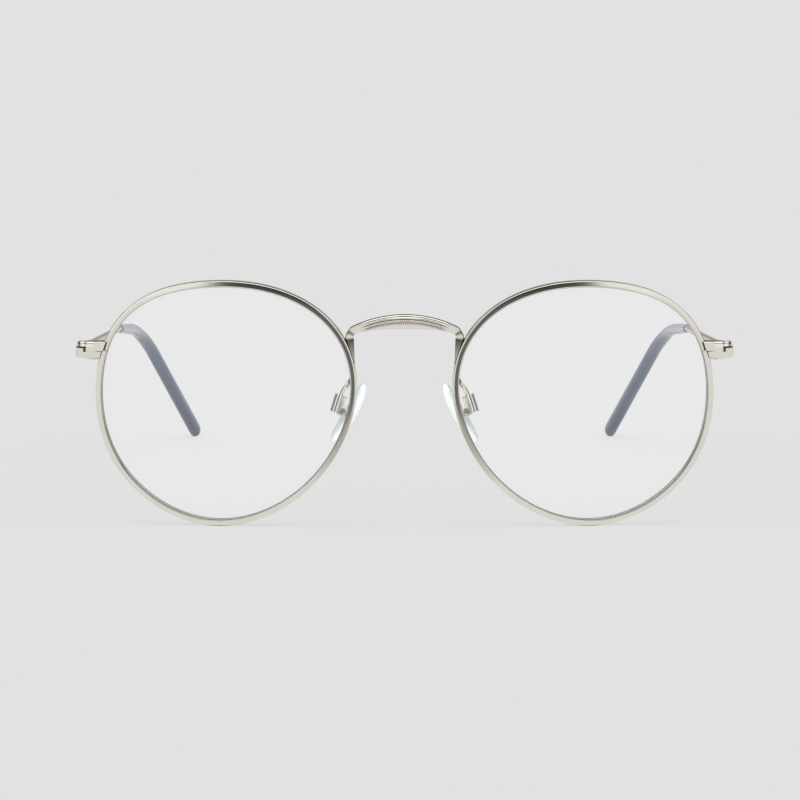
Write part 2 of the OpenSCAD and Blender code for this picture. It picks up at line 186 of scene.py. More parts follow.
def pin(name, radius, low, high, soft=0.06, sides=40):
    """A turned pin or barrel with softened ends."""
    return turned(name, [
        (radius - soft, low), (radius - soft * 0.3, low + soft * 0.3), (radius, low + soft),
        (radius, high - soft), (radius - soft * 0.3, high - soft * 0.3), (radius - soft, high),
    ], sides)


def block(name, low, high, soft=0.12):
    """A block between two corners, in millimetres, with rounded edges."""
    low, high = Vector(low), Vector(high)
    bpy.ops.object.select_all(action="DESELECT")
    bpy.ops.mesh.primitive_cube_add(size=1, location=(low + high) / 2 * MM)
    piece = bpy.context.object
    piece.name = name
    piece.scale = (high - low) * MM
    bpy.ops.object.transform_apply(location=True, rotation=True, scale=True)

    def round_edges():
        bpy.ops.mesh.select_mode(type="EDGE")
        bpy.ops.mesh.select_all(action="SELECT")
        bpy.ops.mesh.bevel(offset=soft * MM, segments=3, affect="EDGES")

    edit(round_edges, face_out)
    return piece


def cut_or_join(piece, tool, operation):
    """Joins a tool shape to a piece, or cuts it away, and removes the tool."""
    only(piece)
    change = piece.modifiers.new("shape", "BOOLEAN")
    change.operation = operation
    change.solver = "EXACT"
    change.object = tool
    bpy.ops.object.modifier_apply(modifier=change.name)
    bpy.data.objects.remove(tool)
    return piece


def seat(piece, matrix=SEAT):
    """Puts the mesh in its place in the frame and leaves the object at the origin."""
    piece.data.transform(matrix)
    only(piece)
    edit(face_out)
    return piece


def shade(piece, angle=32):
    only(piece)
    bpy.ops.object.shade_smooth_by_angle(angle=math.radians(angle))
    return piece


def dress(piece, material, body, node):
    """Gives a piece its finish and its body, and hides the frame node that it stands for."""
    piece.data.name = piece.name
    piece.data.materials.clear()
    piece.data.materials.append(material)
    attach(piece, body)
    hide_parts(node)


def pair(piece, stem, material, body, node, angle=32):
    """Names the left piece, copies it across to the right and dresses both."""
    shade(piece, angle)
    piece.name = f"{stem}_left"
    only(piece)
    bpy.ops.object.duplicate(linked=False)
    other = bpy.context.object
    other.name = f"{stem}_right"
    other.scale.x = -1
    bpy.ops.object.transform_apply(location=False, rotation=False, scale=True)
    edit(face_out)
    dress(piece, material, body.format("left"), f"{node}_left")
    dress(other, material, body.format("right"), f"{node}_right")
    return piece, other


# ---- the lens outline and the rims' middle line

def outline(t):
    """Radius of the rims' middle line at t degrees, from the temple side upwards."""
    mean = 25.2
    lobes = ((2, 0.73, 15.6), (3, 0.85, -37.4), (4, 0.21, 38), (5, 0.07, -42), (6, 0.085, 21))
    return mean + sum(size * math.cos(math.radians(n * (t + at))) for n, size, at in lobes)


def sag(radius):
    return LENS_CURVE - math.sqrt(LENS_CURVE ** 2 - radius ** 2)


def flat(t, radius):
    a = math.radians(t)
    return Vector((radius * math.cos(a), 0, radius * math.sin(a)))


def outward(t):
    d = flat(t + 0.5, outline(t + 0.5)) - flat(t - 0.5, outline(t - 0.5))
    return unit(Vector((d.z, 0, -d.x)))


PLACED = (
    Matrix.Translation((LENS_X, 0, LENS_Z))
    @ Matrix.Rotation(WRAP, 4, "Z")
    @ Matrix.Rotation(LEAN, 4, "X")
)


def rim_point(t, out, back, thickness):
    """A point beside the rim's middle line: out across the wire and back along it."""
    depth = Vector((0, sag(outline(t)) + thickness / 2 + back, 0))
    return PLACED @ (flat(t, outline(t)) + outward(t) * out + depth)


# ---- materials

def put(tree, kind, inputs=(), **settings):
    """Adds a node. "inputs" pairs a socket with a value, a socket or a node, which gives
    its first output. "settings" names the node's own values, or sockets that take one."""
    node = tree.nodes.new(kind)
    for name, value in settings.items():
        if hasattr(node, name):
            setattr(node, name, value)
        else:
            node.inputs[name.replace("_", " ")].default_value = value
    for socket, source in inputs:
        if isinstance(source, bpy.types.Node):
            source = next(out for out in source.outputs if out.enabled)
        if isinstance(source, bpy.types.NodeSocket):
            tree.links.new(source, node.inputs[socket])
        else:
            node.inputs[socket].default_value = source
    return node


def new_material(name):
    """An empty material, its node tree and the coordinates of the piece that wears it."""
    material = bpy.data.materials.new(name)
    material.use_nodes = True
    tree = material.node_tree
    tree.nodes.clear()
    return material, tree, put(tree, "ShaderNodeTexCoord").outputs["Object"]


def per_mm(size):
    """Scale of a pattern on Object coordinates whose cells are this many mm wide."""
    return 1 / (size * MM)


def plated_metal(name, colour, worn, roughness, grain, corner):
    """Nickel silver wire, drawn, polished and plated a pale champagne.

    It gives the eye a bright, slightly warm mirror whose edge is softened by very fine
    polishing marks, with faint darker patches where the plating is thin. Grey shade is
    painted in the milled lines and other places that a piece asks for, and in corners
    that are closer than "corner" mm, found by ambient occlusion.
    """
    material, tree, place = new_material(name)
    patches = put(tree, "ShaderNodeTexNoise", [("Vector", place)],
                  Scale=per_mm(6), Detail=3.0, Roughness=0.55)
    marks = put(tree, "ShaderNodeTexNoise", [("Vector", place)],
                Scale=per_mm(grain), Detail=2.0, Roughness=0.6)
    tint = put(tree, "ShaderNodeMix", [("Factor", patches)], data_type="RGBA",
               A=linear(worn), B=linear(colour))
    # painted shade: each point's share, and corners found by ambient occlusion, are darkened
    # towards #4c473d
    deep = put(tree, "ShaderNodeAttribute", attribute_name="painted_shade").outputs["Fac"]
    occlusion = put(tree, "ShaderNodeAmbientOcclusion", Distance=corner * MM, samples=8)
    occlusion_shade = put(tree, "ShaderNodeMapRange", [("Value", occlusion.outputs["AO"])],
                 From_Min=0.78, From_Max=0.3, To_Max=0.85)
    both = put(tree, "ShaderNodeMath", [(0, deep), (1, occlusion_shade)], operation="MAXIMUM")
    shaded_tint = put(tree, "ShaderNodeMix", [("Factor", both), ("A", tint)], data_type="RGBA",
               B=linear("#4c473d"))
    rough = put(tree, "ShaderNodeMapRange", [("Value", marks)],
                To_Min=roughness * 0.6, To_Max=roughness * 1.5)
    bump = put(tree, "ShaderNodeBump", [("Height", marks)], Strength=0.12, Distance=0.01 * MM)
    shader = put(tree, "ShaderNodeBsdfPrincipled", [
        ("Base Color", shaded_tint), ("Specular Tint", shaded_tint), ("Roughness", rough), ("Normal", bump),
    ], Metallic=1.0)
    put(tree, "ShaderNodeOutputMaterial", [("Surface", shader)])
    return material


def screw_steel(name, colour):
    """Stainless steel, turned on a small lathe.

    It gives the eye a grey, darker metal with a fine grit in its shine.
    """
    material, tree, place = new_material(name)
    grit = put(tree, "ShaderNodeTexNoise", [("Vector", place)],
               Scale=per_mm(0.12), Detail=3.0, Roughness=0.7)
    tint = put(tree, "ShaderNodeMix", [("Factor", grit)], data_type="RGBA",
               A=linear("#6d6a62"), B=linear(colour))
    bump = put(tree, "ShaderNodeBump", [("Height", grit)], Strength=0.25, Distance=0.01 * MM)
    shader = put(tree, "ShaderNodeBsdfPrincipled", [("Base Color", tint), ("Normal", bump)],
                 Metallic=1.0, Roughness=0.28)
    put(tree, "ShaderNodeOutputMaterial", [("Surface", shader)])
    return material


def coated_lens(colour, film):
    """CR-39 plastic, cast, edged and given a hard anti-reflection coating.

    It gives the eye an almost clear sheet that lifts what lies behind it a little, by a
    faint glow of its own, with a thin veil where the surface turns away and a painted
    shadow line where its ground edge meets the rim.
    """
    material, tree, place = new_material("cr39_coated_lens")
    haze = put(tree, "ShaderNodeTexNoise", [("Vector", place)],
               Scale=per_mm(18), Detail=2.0, Roughness=0.4)
    tint = put(tree, "ShaderNodeMix", [("Factor", haze)], data_type="RGBA",
               A=linear(colour), B=linear("#ffffff"))
    facing = put(tree, "ShaderNodeLayerWeight", Blend=0.25).outputs["Facing"]
    veil = put(tree, "ShaderNodeMapRange", [("Value", facing)],
               From_Min=0.35, To_Min=film, To_Max=0.25)
    edge = put(tree, "ShaderNodeAttribute", attribute_name="painted_shade").outputs["Fac"]
    # painted shadow: the ground edge is darkened towards #2f302c where it meets the rim
    body = put(tree, "ShaderNodeMix", [("Factor", edge), ("A", tint)], data_type="RGBA",
               B=linear("#2f302c"))
    cover = put(tree, "ShaderNodeMath", [(0, veil), (1, edge)], operation="MAXIMUM")
    lift = put(tree, "ShaderNodeMapRange", [("Value", facing)],
               From_Min=0.2, From_Max=0.5, To_Min=0.75, To_Max=0.0)
    unshaded = put(tree, "ShaderNodeMath", [(0, 1.0), (1, edge)], operation="SUBTRACT")
    glow = put(tree, "ShaderNodeMath", [(0, lift), (1, unshaded)], operation="MULTIPLY")
    shader = put(tree, "ShaderNodeBsdfPrincipled", [
        ("Base Color", body), ("Alpha", cover), ("Emission Strength", glow),
    ], Emission_Color=linear("#ffffff"), Roughness=0.03, IOR=1.5)
    put(tree, "ShaderNodeOutputMaterial", [("Surface", shader)])
    return material


def smoke_acetate(colour, depth):
    """Cellulose acetate, translucent smoke blue, moulded over the core and polished.

    It gives the eye a deep, clear blue grey that is darkest at its end, with the metal
    core showing at its mouth. It turns to a milky lavender over the ear.
    """
    material, tree, place = new_material("smoke_blue_acetate")
    clouds = put(tree, "ShaderNodeTexNoise", [("Vector", place)],
                 Scale=per_mm(7), Detail=3.0, Roughness=0.6, Distortion=0.6)
    tint = put(tree, "ShaderNodeMix", [("Factor", clouds)], data_type="RGBA",
               A=linear("#d8e2f4"), B=linear("#f6f7ff"))
    height = put(tree, "ShaderNodeSeparateXYZ", [("Vector", place)]).outputs["Z"]
    deeper = put(tree, "ShaderNodeMapRange", [("Value", height)],
                 interpolation_type="SMOOTHSTEP", From_Min=10 * MM, From_Max=5 * MM)
    end = put(tree, "ShaderNodeMix", [("Factor", deeper), ("A", tint)], data_type="RGBA",
              B=linear("#c2c4e0"))
    milk = put(tree, "ShaderNodeMapRange", [("Value", height)],
               interpolation_type="SMOOTHSTEP", From_Min=26.5 * MM, From_Max=31.5 * MM)
    fade = put(tree, "ShaderNodeMix", [("Factor", milk), ("A", end)], data_type="RGBA",
               B=linear("#d6d2e8"))
    clear = put(tree, "ShaderNodeMapRange", [("Value", milk)], To_Min=0.95, To_Max=0.3)
    body = put(tree, "ShaderNodeVolumeAbsorption", Color=linear(colour), Density=depth)
    shader = put(tree, "ShaderNodeBsdfPrincipled", [
        ("Base Color", fade), ("Transmission Weight", clear),
    ], Roughness=0.06, IOR=1.48)
    put(tree, "ShaderNodeOutputMaterial", [("Surface", shader), ("Volume", body)])
    return material


def clear_pad(colour):
    """Soft PVC, injection moulded, clear with a faint mint cast.

    It gives the eye a milky jelly with a darker outline, painted shade where the surface
    turns away. A faint glow of its own stands in for the light that wanders about inside it.
    """
    material, tree, place = new_material("clear_soft_pvc")
    frost = put(tree, "ShaderNodeTexNoise", [("Vector", place)],
                Scale=per_mm(0.5), Detail=2.0, Roughness=0.5)
    rough = put(tree, "ShaderNodeMapRange", [("Value", frost)], To_Min=0.05, To_Max=0.12)
    cloud = put(tree, "ShaderNodeTexNoise", [("Vector", place)], Scale=per_mm(3), Detail=1.0)
    tint = put(tree, "ShaderNodeMix", [("Factor", cloud)], data_type="RGBA",
               A=linear(colour), B=linear("#fbfffe"))
    facing = put(tree, "ShaderNodeLayerWeight", Blend=0.5).outputs["Facing"]
    edge = put(tree, "ShaderNodeMapRange", [("Value", facing)], From_Min=0.62)
    # painted shade: where the surface turns away the colour is darkened towards #4f6068
    body = put(tree, "ShaderNodeMix", [("Factor", edge), ("A", tint)], data_type="RGBA",
               B=linear("#4f6068"))
    glow = put(tree, "ShaderNodeMapRange", [("Value", edge)], To_Min=0.2, To_Max=0.0)
    shader = put(tree, "ShaderNodeBsdfPrincipled", [
        ("Base Color", body), ("Roughness", rough), ("Emission Strength", glow),
        ("Emission Color", tint),
    ], Transmission_Weight=0.2, IOR=1.45)
    put(tree, "ShaderNodeOutputMaterial", [("Surface", shader)])
    return material


def studio_floor(colour, lit_below):
    """Opal acrylic sheet on a light table, lit from above and below.

    It gives the eye a flat pale ground on which shadows are only a faint grey.
    """
    material, tree, place = new_material("opal_light_table")
    matt = put(tree, "ShaderNodeBsdfDiffuse", Color=linear(colour))
    glow = put(tree, "ShaderNodeEmission", Color=linear("#ffffff"), Strength=lit_below)
    both = put(tree, "ShaderNodeAddShader", [(0, matt), (1, glow)])
    put(tree, "ShaderNodeOutputMaterial", [("Surface", both)])
    return material


def frame_metal(name="plated_nickel_silver", softer=1, grain=0.25, corner=0.3):
    """The metal of the frame, made the first time that it is asked for."""
    look = bpy.context.scene.eyewear_finishes
    return bpy.data.materials.get(name) or plated_metal(
        name, look.metal, look.thin_plating, look.metal_roughness * softer, grain, corner)


def fitting_metal():
    return frame_metal("plated_fittings", 1.3, 0.15, 0.35)


def steel(name="turned_stainless_steel"):
    look = bpy.context.scene.eyewear_finishes
    return bpy.data.materials.get(name) or screw_steel(name, look.steel)


# ---- sizes and colours that a user would change

def length(name, description, default_mm):
    return FloatProperty(name=name, description=description, default=default_mm * MM,
                         min=0, precision=5, unit="LENGTH")


def hex_colour(name, description, default):
    return StringProperty(name=name, description=description, default=default)


class EyewearRims(bpy.types.PropertyGroup):
    """Sizes of the rims and lenses."""
    wire_w: length("Wire width", "Thickness of the rim wire across the lens plane", 1.2)
    wire_d: length("Wire depth", "Depth of the rim wire, front to back", 2.2)
    front_fall: length("Front fall", "How far the rim's front face falls back outwards", 0.16)
    groove: length("Groove depth", "Depth of the groove that holds the lens", 0.42)
    lens_t: length("Lens thickness", "Thickness of a lens", 1.8)
    steps: IntProperty(name="Stations", description="Sections round a rim", default=360, min=90)


class EyewearBridge(bpy.types.PropertyGroup):
    """Sizes of the bridge and its ornament."""
    height: length("Height", "Height of the strap over the nose", 3.0)
    depth: length("Depth", "Front-to-back thickness of the strap", 1.5)
    reach: length("Reach", "How far the middle stands forward of the lenses", 1.45)
    bead: length("Bead pitch", "Distance from bead to bead", 0.42)
    relief: length("Relief", "Depth of the milled lines and beads", 0.2)


class EyewearEndpieces(bpy.types.PropertyGroup):
    """Sizes of the endpieces."""
    strap_t: length("Strap thickness", "Thickness of the endpieces and temple straps", 1.3)
    corner: length("Corner radius", "Outer radius of the endpiece's corner", 1.9)
    tier: length("Tier", "How far the lower tier stands out beyond the upper one", 0.3)
    seam: length("Seam", "Width of the bevelled edge of the lap over the rim", 0.3)


class EyewearHinges(bpy.types.PropertyGroup):
    """Sizes of the hinges."""
    knuckle_r: length("Knuckle radius", "Radius of a hinge knuckle", 1.1)
    pin_r: length("Pin radius", "Radius of a hinge pin", 0.6)
    slot_w: length("Slot width", "Width of the slot in a screw's head", 0.25)


class EyewearTemples(bpy.types.PropertyGroup):
    """Sizes of the temples and tips."""
    strap_h: length("Strap height", "Height of a temple strap at its hinge", 2.4)
    core_r: length("Wire radius", "Radius of the round wire at the back", 0.7)
    tip_w: length("Tip thickness", "Thickness of a tip near its end", 2.9)
    tip_h: length("Tip height", "Height of a tip near its end", 4.2)


class EyewearPads(bpy.types.PropertyGroup):
    """Sizes of the nose pads."""
    pad_l: length("Pad length", "Length of a nose pad", 13.6)
    pad_w: length("Pad width", "Width of a nose pad", 7.6)
    pad_t: length("Pad thickness", "Thickness of a nose pad", 1.7)
    wire_r: length("Arm radius", "Radius of the wire that carries a pad", 0.5)


class EyewearFinishes(bpy.types.PropertyGroup):
    """Colours and finishes."""
    metal: hex_colour("Metal", "Colour of the plated metal", "#f3f0e8")
    thin_plating: hex_colour("Thin plating", "Colour where the plating is thin", "#e7e2d6")
    metal_roughness: FloatProperty(name="Metal roughness", description="Roughness of the polish",
                                   default=0.11, min=0, max=1)
    steel: hex_colour("Steel", "Colour of the screws", "#a9a69c")
    lens: hex_colour("Lens", "Tint of the lens coating", "#f2fbff")
    lens_film: FloatProperty(name="Lens film", description="Share of light that a face of the "
                             "lens scatters", default=0.035, min=0, max=1)
    acetate: hex_colour("Acetate", "Colour that the tips' smoke lets through", "#6f9cc2")
    acetate_depth: FloatProperty(name="Acetate depth", description="How strongly the tips take "
                                 "up light, for each metre", default=1100, min=0)
    pad: hex_colour("Pad", "Tint of the nose pads", "#eefaf8")


def level(name, description, default):
    return FloatProperty(name=name, description=description, default=default, min=0)


class EyewearStage(bpy.types.PropertyGroup):
    """Floor and light."""
    floor: hex_colour("Floor", "Colour of the floor", "#6e6e6e")
    lit_below: level("Lit below", "Brightness of the floor's own light", 0.605)
    overhead: level("Overhead", "Brightness of the wide light overhead", 1.3)
    side_boxes: level("Side lights", "Brightness of the lights beside the camera", 0.92)
    floor_seen: level("Floor seen", "Brightness of the floor as the metal mirrors it", 0.74)
    gap: level("Gap", "Share of the floor that the gap round the camera hides", 0.88)
    walls: level("Walls", "Brightness of the dim walls", 0.05)
    back_wall: level("Back wall", "Brightness of the wall behind, low down", 0.4)


# ---- rims and lenses

GROOVE_MOUTH = 0.5
SPLIT_T = 22.8
SPLIT_GAP = 0.2


def wire_section(width, depth, fall, groove):
    """The rim wire's section, as (out, back) pairs, from the groove round to itself."""
    inner, outer, half = -width / 2, width / 2, depth / 2
    lip = 0.2
    shoulder = 0.3
    brow = 0.22
    across = [mix(outer - brow, inner + lip, i / 6) for i in range(1, 6)]
    face = [(x, -half + fall * ((x - inner) / width) ** 1.4) for x in across]
    return [
        (inner + groove, 0.0),
        (inner, GROOVE_MOUTH),
        *arc(inner + lip, half - lip, lip, 180, 90, 3),
        *arc(outer - shoulder, half - shoulder, shoulder, 90, 0, 5),
        *arc(outer - brow, -half + fall * 0.85 + brow, brow, 0, -78, 5),
        *face,
        *arc(inner + lip, lip - half, lip, 270, 180, 5),
        (inner, -GROOVE_MOUTH),
    ]


class EYEWEAR_OT_rims(bpy.types.Operator):
    """Adds the two grooved rims, each split at its endpiece"""
    bl_idname = "eyewear.rims"
    bl_label = "Rims"

    def execute(self, context):
        sizes = context.scene.eyewear_rims
        section = wire_section(sizes.wire_w / MM, sizes.wire_d / MM,
                               sizes.front_fall / MM, sizes.groove / MM)
        first = SPLIT_T + SPLIT_GAP / 2
        turn = 360 - SPLIT_GAP
        angles = [first + turn * i / sizes.steps for i in range(sizes.steps + 1)]
        thickness = sizes.lens_t / MM
        inner = -sizes.wire_w / MM / 2
        # painted shade along the inner lip beside the lens, strongest on the lower half
        near = [1 - ease((out - inner - 0.02) / 0.06) for out, back in section]
        low = [0.55 - 0.45 * math.sin(math.radians(t - 25)) for t in angles]
        # painted shade beside the nose
        shade_share = [0.42 * (1 - ease(abs(t - 198) / 32)) for t in angles]
        rim = skin("rim", [[rim_point(t, out, back, thickness) for out, back in section]
                           for t in angles],
                   [[max(n * k, d) for n in near] for k, d in zip(low, shade_share)])
        seat(rim)
        pair(rim, "rim_wire", frame_metal(), "front", "rim", 40)
        return {"FINISHED"}


def lens_ring(share, out, back, steps):
    """Points round a lens, at a share of the way out from its middle."""
    ring = []
    for i in range(steps):
        t = 360 * i / steps
        edge = flat(t, outline(t)) + outward(t) * out
        p = edge * share
        depth = sag(p.length) if share < 1 else sag(outline(t))
        ring.append(PLACED @ Vector((p.x, depth + back, p.z)))
    return ring


class EYEWEAR_OT_lenses(bpy.types.Operator):
    """Adds the two bevelled lenses"""
    bl_idname = "eyewear.lenses"
    bl_label = "Lenses"

    def execute(self, context):
        sizes = context.scene.eyewear_rims
        look = context.scene.eyewear_finishes
        slack = 0.03
        steps = 180
        thickness = sizes.lens_t / MM
        edge = -sizes.wire_w / MM / 2 - slack
        half = thickness / 2
        bevel = GROOVE_MOUTH - slack
        safety = 0.08
        shares = [i / 10 for i in range(10)]
        rings = [lens_ring(k, edge, 0, steps) for k in shares]
        rings += [
            lens_ring(1, edge - safety, 0, steps),
            lens_ring(1, edge, safety * 0.6, steps),
            lens_ring(1, edge, half - bevel, steps),
            lens_ring(1, edge + sizes.groove / MM, half, steps),
            lens_ring(1, edge, half + bevel, steps),
            lens_ring(1, edge, thickness - safety * 0.6, steps),
            lens_ring(1, edge - safety, thickness, steps),
        ]
        rings += [lens_ring(k, edge, thickness, steps) for k in reversed(shares)]
        # painted shadow: the ground edge is painted dark at the front, where it meets the rim, and
        # clears towards the back
        ground = [[k] * steps for k in (0.95, 0.85, 0.5, 0.1, 0)]
        plain = [[0] * steps] * (len(shares) + 1)
        painted_shade = plain + ground + plain
        lens = seat(skin("lens", rings, painted_shade))
        finish = coated_lens(look.lens, look.lens_film)
        for glass in pair(lens, "lens_glass", finish, "front", "lens", 24):
            glass.visible_shadow = False
        return {"FINISHED"}


# ---- bridge

ARCH_END = 9.6
ARCH_DROP = 1.6
ARCH_END_H = 1.7
FOOT_TOP = 154.5
FOOT_BOTTOM = 164
FOOT_H = 1.65
FOOT_TIP_H = 0.25
FOOT_D = 1.7
FOOT_TIP_D = 1.1
SOLDER = 0.06
BRIDGE_Z = 42.0


def arch_point(x, reach):
    k = x / ARCH_END
    return Vector((x, mix(-reach, 0.55, ease(k)), BRIDGE_Z - ARCH_DROP * k * k))


def foot_width(k):
    return mix(FOOT_TIP_H, FOOT_H, (1 - k) ** 1.5)


def foot_point(k, wire_w, lens_t):
    out = (wire_w + foot_width(k)) / 2 - SOLDER
    return rim_point(mix(FOOT_TOP, FOOT_BOTTOM, k), out, -0.1, lens_t)


def relief(down, along, bead):
    """The bridge's ornament at a distance down from its top edge and along it: its
    height, from -1 to 1, and its share of painted shade. There are two ridges with a line
    above and below each, then two rows of beads, and the rest is plain."""
    lines = ((0.0, 0.14, 0.8), (0.42, 0.13, 0.8), (0.98, 0.16, 1.0))
    cut, ground, dome = 0.6, -0.3, 0.9
    # painted shade: the milled lines, the ground between the beads and each bead's edge are
    # darkened
    height, shade_share = 0.0, 0.0
    for line, half, depth in lines:
        k = 1 - min(1, abs(down - line) / half)
        height -= cut * depth * ease(k)
        shade_share = max(shade_share, depth * ease(1.5 * k))
    rows = ((1.42, 0.0, 0.19), (1.8, 0.5, 0.19))
    first, last = 1.2, 2.02
    if first < down < last:
        share = min(1, (down - first) / 0.1, (last - down) / 0.1)
        height, shade_share = ground * share, 0.45 * share
        for line, offset, radius in rows:
            u = (along / bead + offset) % 1 - 0.5
            d2 = (u * bead / radius) ** 2 + ((down - line) / radius) ** 2
            if d2 < 1:
                height = dome * math.sqrt(1 - d2) + ground
                shade_share = 0.2 * d2 ** 3
    return height, shade_share


def crowned(s, crest):
    """Share of the strap's depth at a height s, from -1 to 1. The face falls away both
    ways from a soft crest, so nothing on it is quite upright."""
    q = (s - crest) / (1 - crest) if s > crest else (crest - s) / (1 + crest)
    return math.sqrt(max(0, 1 - q ** 1.35))


class EYEWEAR_OT_bridge(bpy.types.Operator):
    """Adds the arched bridge with its milled ridges and beads"""
    bl_idname = "eyewear.bridge"
    bl_label = "Bridge"

    def stations(self, sizes, rims):
        """Half of the strap: middle point, height, depth, ornament and painted shade."""
        reach = sizes.reach / MM
        top_h = sizes.height / MM
        depth = sizes.depth / MM
        wire_w, lens_t = rims.wire_w / MM, rims.lens_t / MM
        arch_steps, knee_steps, foot_steps = 210, 24, 14
        plain_from = 7.2
        a = arch_point(ARCH_END, reach)
        leave = unit(a - arch_point(ARCH_END - 0.2, reach))
        f = foot_point(0, wire_w, lens_t)
        arrive = unit(foot_point(0.1, wire_w, lens_t) - f)
        half = []
        for i in range(arch_steps):
            x = ARCH_END * i / arch_steps
            height = mix(top_h, ARCH_END_H, (i / arch_steps) ** 1.6)
            half.append((arch_point(x, reach), height, depth, 1 - ease((x - plain_from) / 2), 0))
        for i in range(knee_steps):
            k = i / knee_steps
            p = bezier(a, a + leave * 1.3, f - arrive * 0.9, f, k)
            # the strap is nipped where it turns down
            crease = 1 - ease(abs(k - 0.45) / 0.2)
            nip = 1 - 0.15 * crease
            # painted shade: a dark band across the crease, then dark down into the foot
            half.append((p, mix(ARCH_END_H, FOOT_H, k) * nip, mix(depth, FOOT_D, k) * nip, 0,
                         max(0.8 * crease, 0.95 * ease((k - 0.75) / 0.2))))
        for i in range(foot_steps + 1):
            k = i / foot_steps
            # painted shade on the foot, heaviest where it leaves the knee
            half.append((foot_point(k, wire_w, lens_t), foot_width(k),
                         mix(FOOT_D, FOOT_TIP_D, k), 0, mix(0.95, 0.25, k)))
        return half

    def execute(self, context):
        sizes = context.scene.eyewear_bridge
        half = self.stations(sizes, context.scene.eyewear_rims)
        flip = [(Vector((-p.x, p.y, p.z)), *rest) for p, *rest in half[:0:-1]]
        line = flip + half
        last = len(line) - 1
        bead = sizes.bead / MM
        deep = sizes.relief / MM
        face, back = 60, 14
        squareness = 0.6
        along = 0.0
        start = sum((line[i + 1][0] - line[i][0]).length for i in range(len(flip)))
        rings, painted_shade = [], []
        for i, (p, height, depth, fade, scale) in enumerate(line):
            ahead = line[min(last, i + 1)][0] - line[max(0, i - 1)][0]
            run = unit(Vector((ahead.x, 0, ahead.z)))
            up = Vector((-run.z, 0, run.x))
            ring, dark = [], []
            for j in range(face + 1):
                # the front face from its top edge to its bottom edge
                s = mix(math.cos(math.pi * j / face), 1 - 2 * j / face, 0.75)
                bulge = crowned(s, mix(0.78, 0.35, fade))
                lift, shade_share = relief((1 - s) / 2 * height, along - start, bead)
                lift *= deep * fade
                ring.append(p + up * (height / 2 * s) - Vector((0, depth / 2 * bulge + lift, 0)))
                dark.append(max(shade_share * fade, scale))
            for j in range(1, back):
                # the plain back
                a = math.pi * j / back
                ring.append(p - up * (height / 2 * power(math.cos(a), squareness))
                            + Vector((0, depth / 2 * math.sin(a) ** squareness, 0)))
                dark.append(scale)
            rings.append(ring)
            painted_shade.append(dark)
            if i < last:
                along += (line[i + 1][0] - p).length
        bridge = shade(seat(skin("bridge_strap", rings, painted_shade)), 40)
        dress(bridge, frame_metal(), "front", "bridge")
        return {"FINISHED"}


# ---- endpieces, closing blocks and their screws

END_Y = 3.3
END_Z = 35.9
END_H = 3.3
SIDE_X = 66.2
TIER_Z = 36.34
PLATE_TURN = 10
LAP_LOW = 35.75
LAP_DROP = 0.04
NOTCH_LOW_Z = 35.46
LOW_FROM = 7.4
HINGE_Z = 35.5


def seat_x(z, thickness, out=0.6 - SOLDER):
    """Where the rim's side lies at a height, less the solder's depth."""
    s = rim_point(SPLIT_T, out, 0, thickness)
    way = outward(SPLIT_T)
    return s.x - (z - s.z) * way.z / way.x


def oblong(y0, y1, z0, z1, soft):
    """A ring of (y, z) pairs round an oblong with rounded corners."""
    return [
        *arc(y1 - soft, z1 - soft, soft, 0, 90, 3),
        *arc(y0 + soft, z1 - soft, soft, 90, 180, 3),
        *arc(y0 + soft, z0 + soft, soft, 180, 270, 3),
        *arc(y1 - soft, z0 + soft, soft, 270, 360, 3),
    ]


def rim_block(name, low, high, thickness, soft=0.14):
    """A block that starts on the side of the rim and runs out along X."""
    full = oblong(low[1], high[1], low[2], high[2], soft)
    centre_y, centre_z = (low[1] + high[1]) / 2, (low[2] + high[2]) / 2
    small = [(mix(y, centre_y, 0.12), mix(z, centre_z, 0.12)) for y, z in full]
    rings = [[(seat_x(z, thickness), y, z) for y, z in full]]
    rings += [[(high[0] - soft, y, z) for y, z in full]]
    rings += [[(high[0] - soft * 0.3, mix(y, centre_y, 0.03), mix(z, centre_z, 0.03))
               for y, z in full]]
    rings += [[(high[0], y, z) for y, z in small]]
    return skin(name, rings)


def strap_section(thickness, low, high, tier, line, notch):
    """Section of the endpiece strap as (outward, height) pairs; its outer face is at 0.

    tier sets the upper half back, line cuts the groove between the two halves, and
    notch sinks the top of the lower half.
    """
    soft = 0.16
    bevel = 0.3
    cut = 0.09
    split = min(high - 0.5, max(low + 0.9, TIER_Z))
    pit = max(low + 0.45, NOTCH_LOW_Z)
    swell = 0.13
    half = (high - low) / 2
    points = [
        (-tier - bevel, high), (-tier - bevel * 0.4, high - bevel * 0.3),
        (-tier, high - bevel),
        (-tier, (high + split) / 2), (-tier, split + cut * 1.6), (-tier - line * 0.4, split + cut),
        (-tier - line, split),
        (-line * 0.5 - notch, split - cut), (-notch, split - cut * 1.6), (-notch, pit + 0.06),
        (0, pit), (0, mix(low, pit, 0.5)), (0, low + soft), (-soft * 0.3, low + soft * 0.3),
        (-soft, low), (soft - thickness, low), (soft * 0.3 - thickness, low + soft * 0.3),
        (-thickness, low + soft), (-thickness, (low + high) / 2), (-thickness, high - soft),
        (soft * 0.3 - thickness, high - soft * 0.3), (soft - thickness, high),
    ]
    # the outer face is slightly crowned from top to bottom
    return [(a - swell * ((z - low) / half - 1) ** 2 if a > -0.9 else a, z)
            for a, z in points]


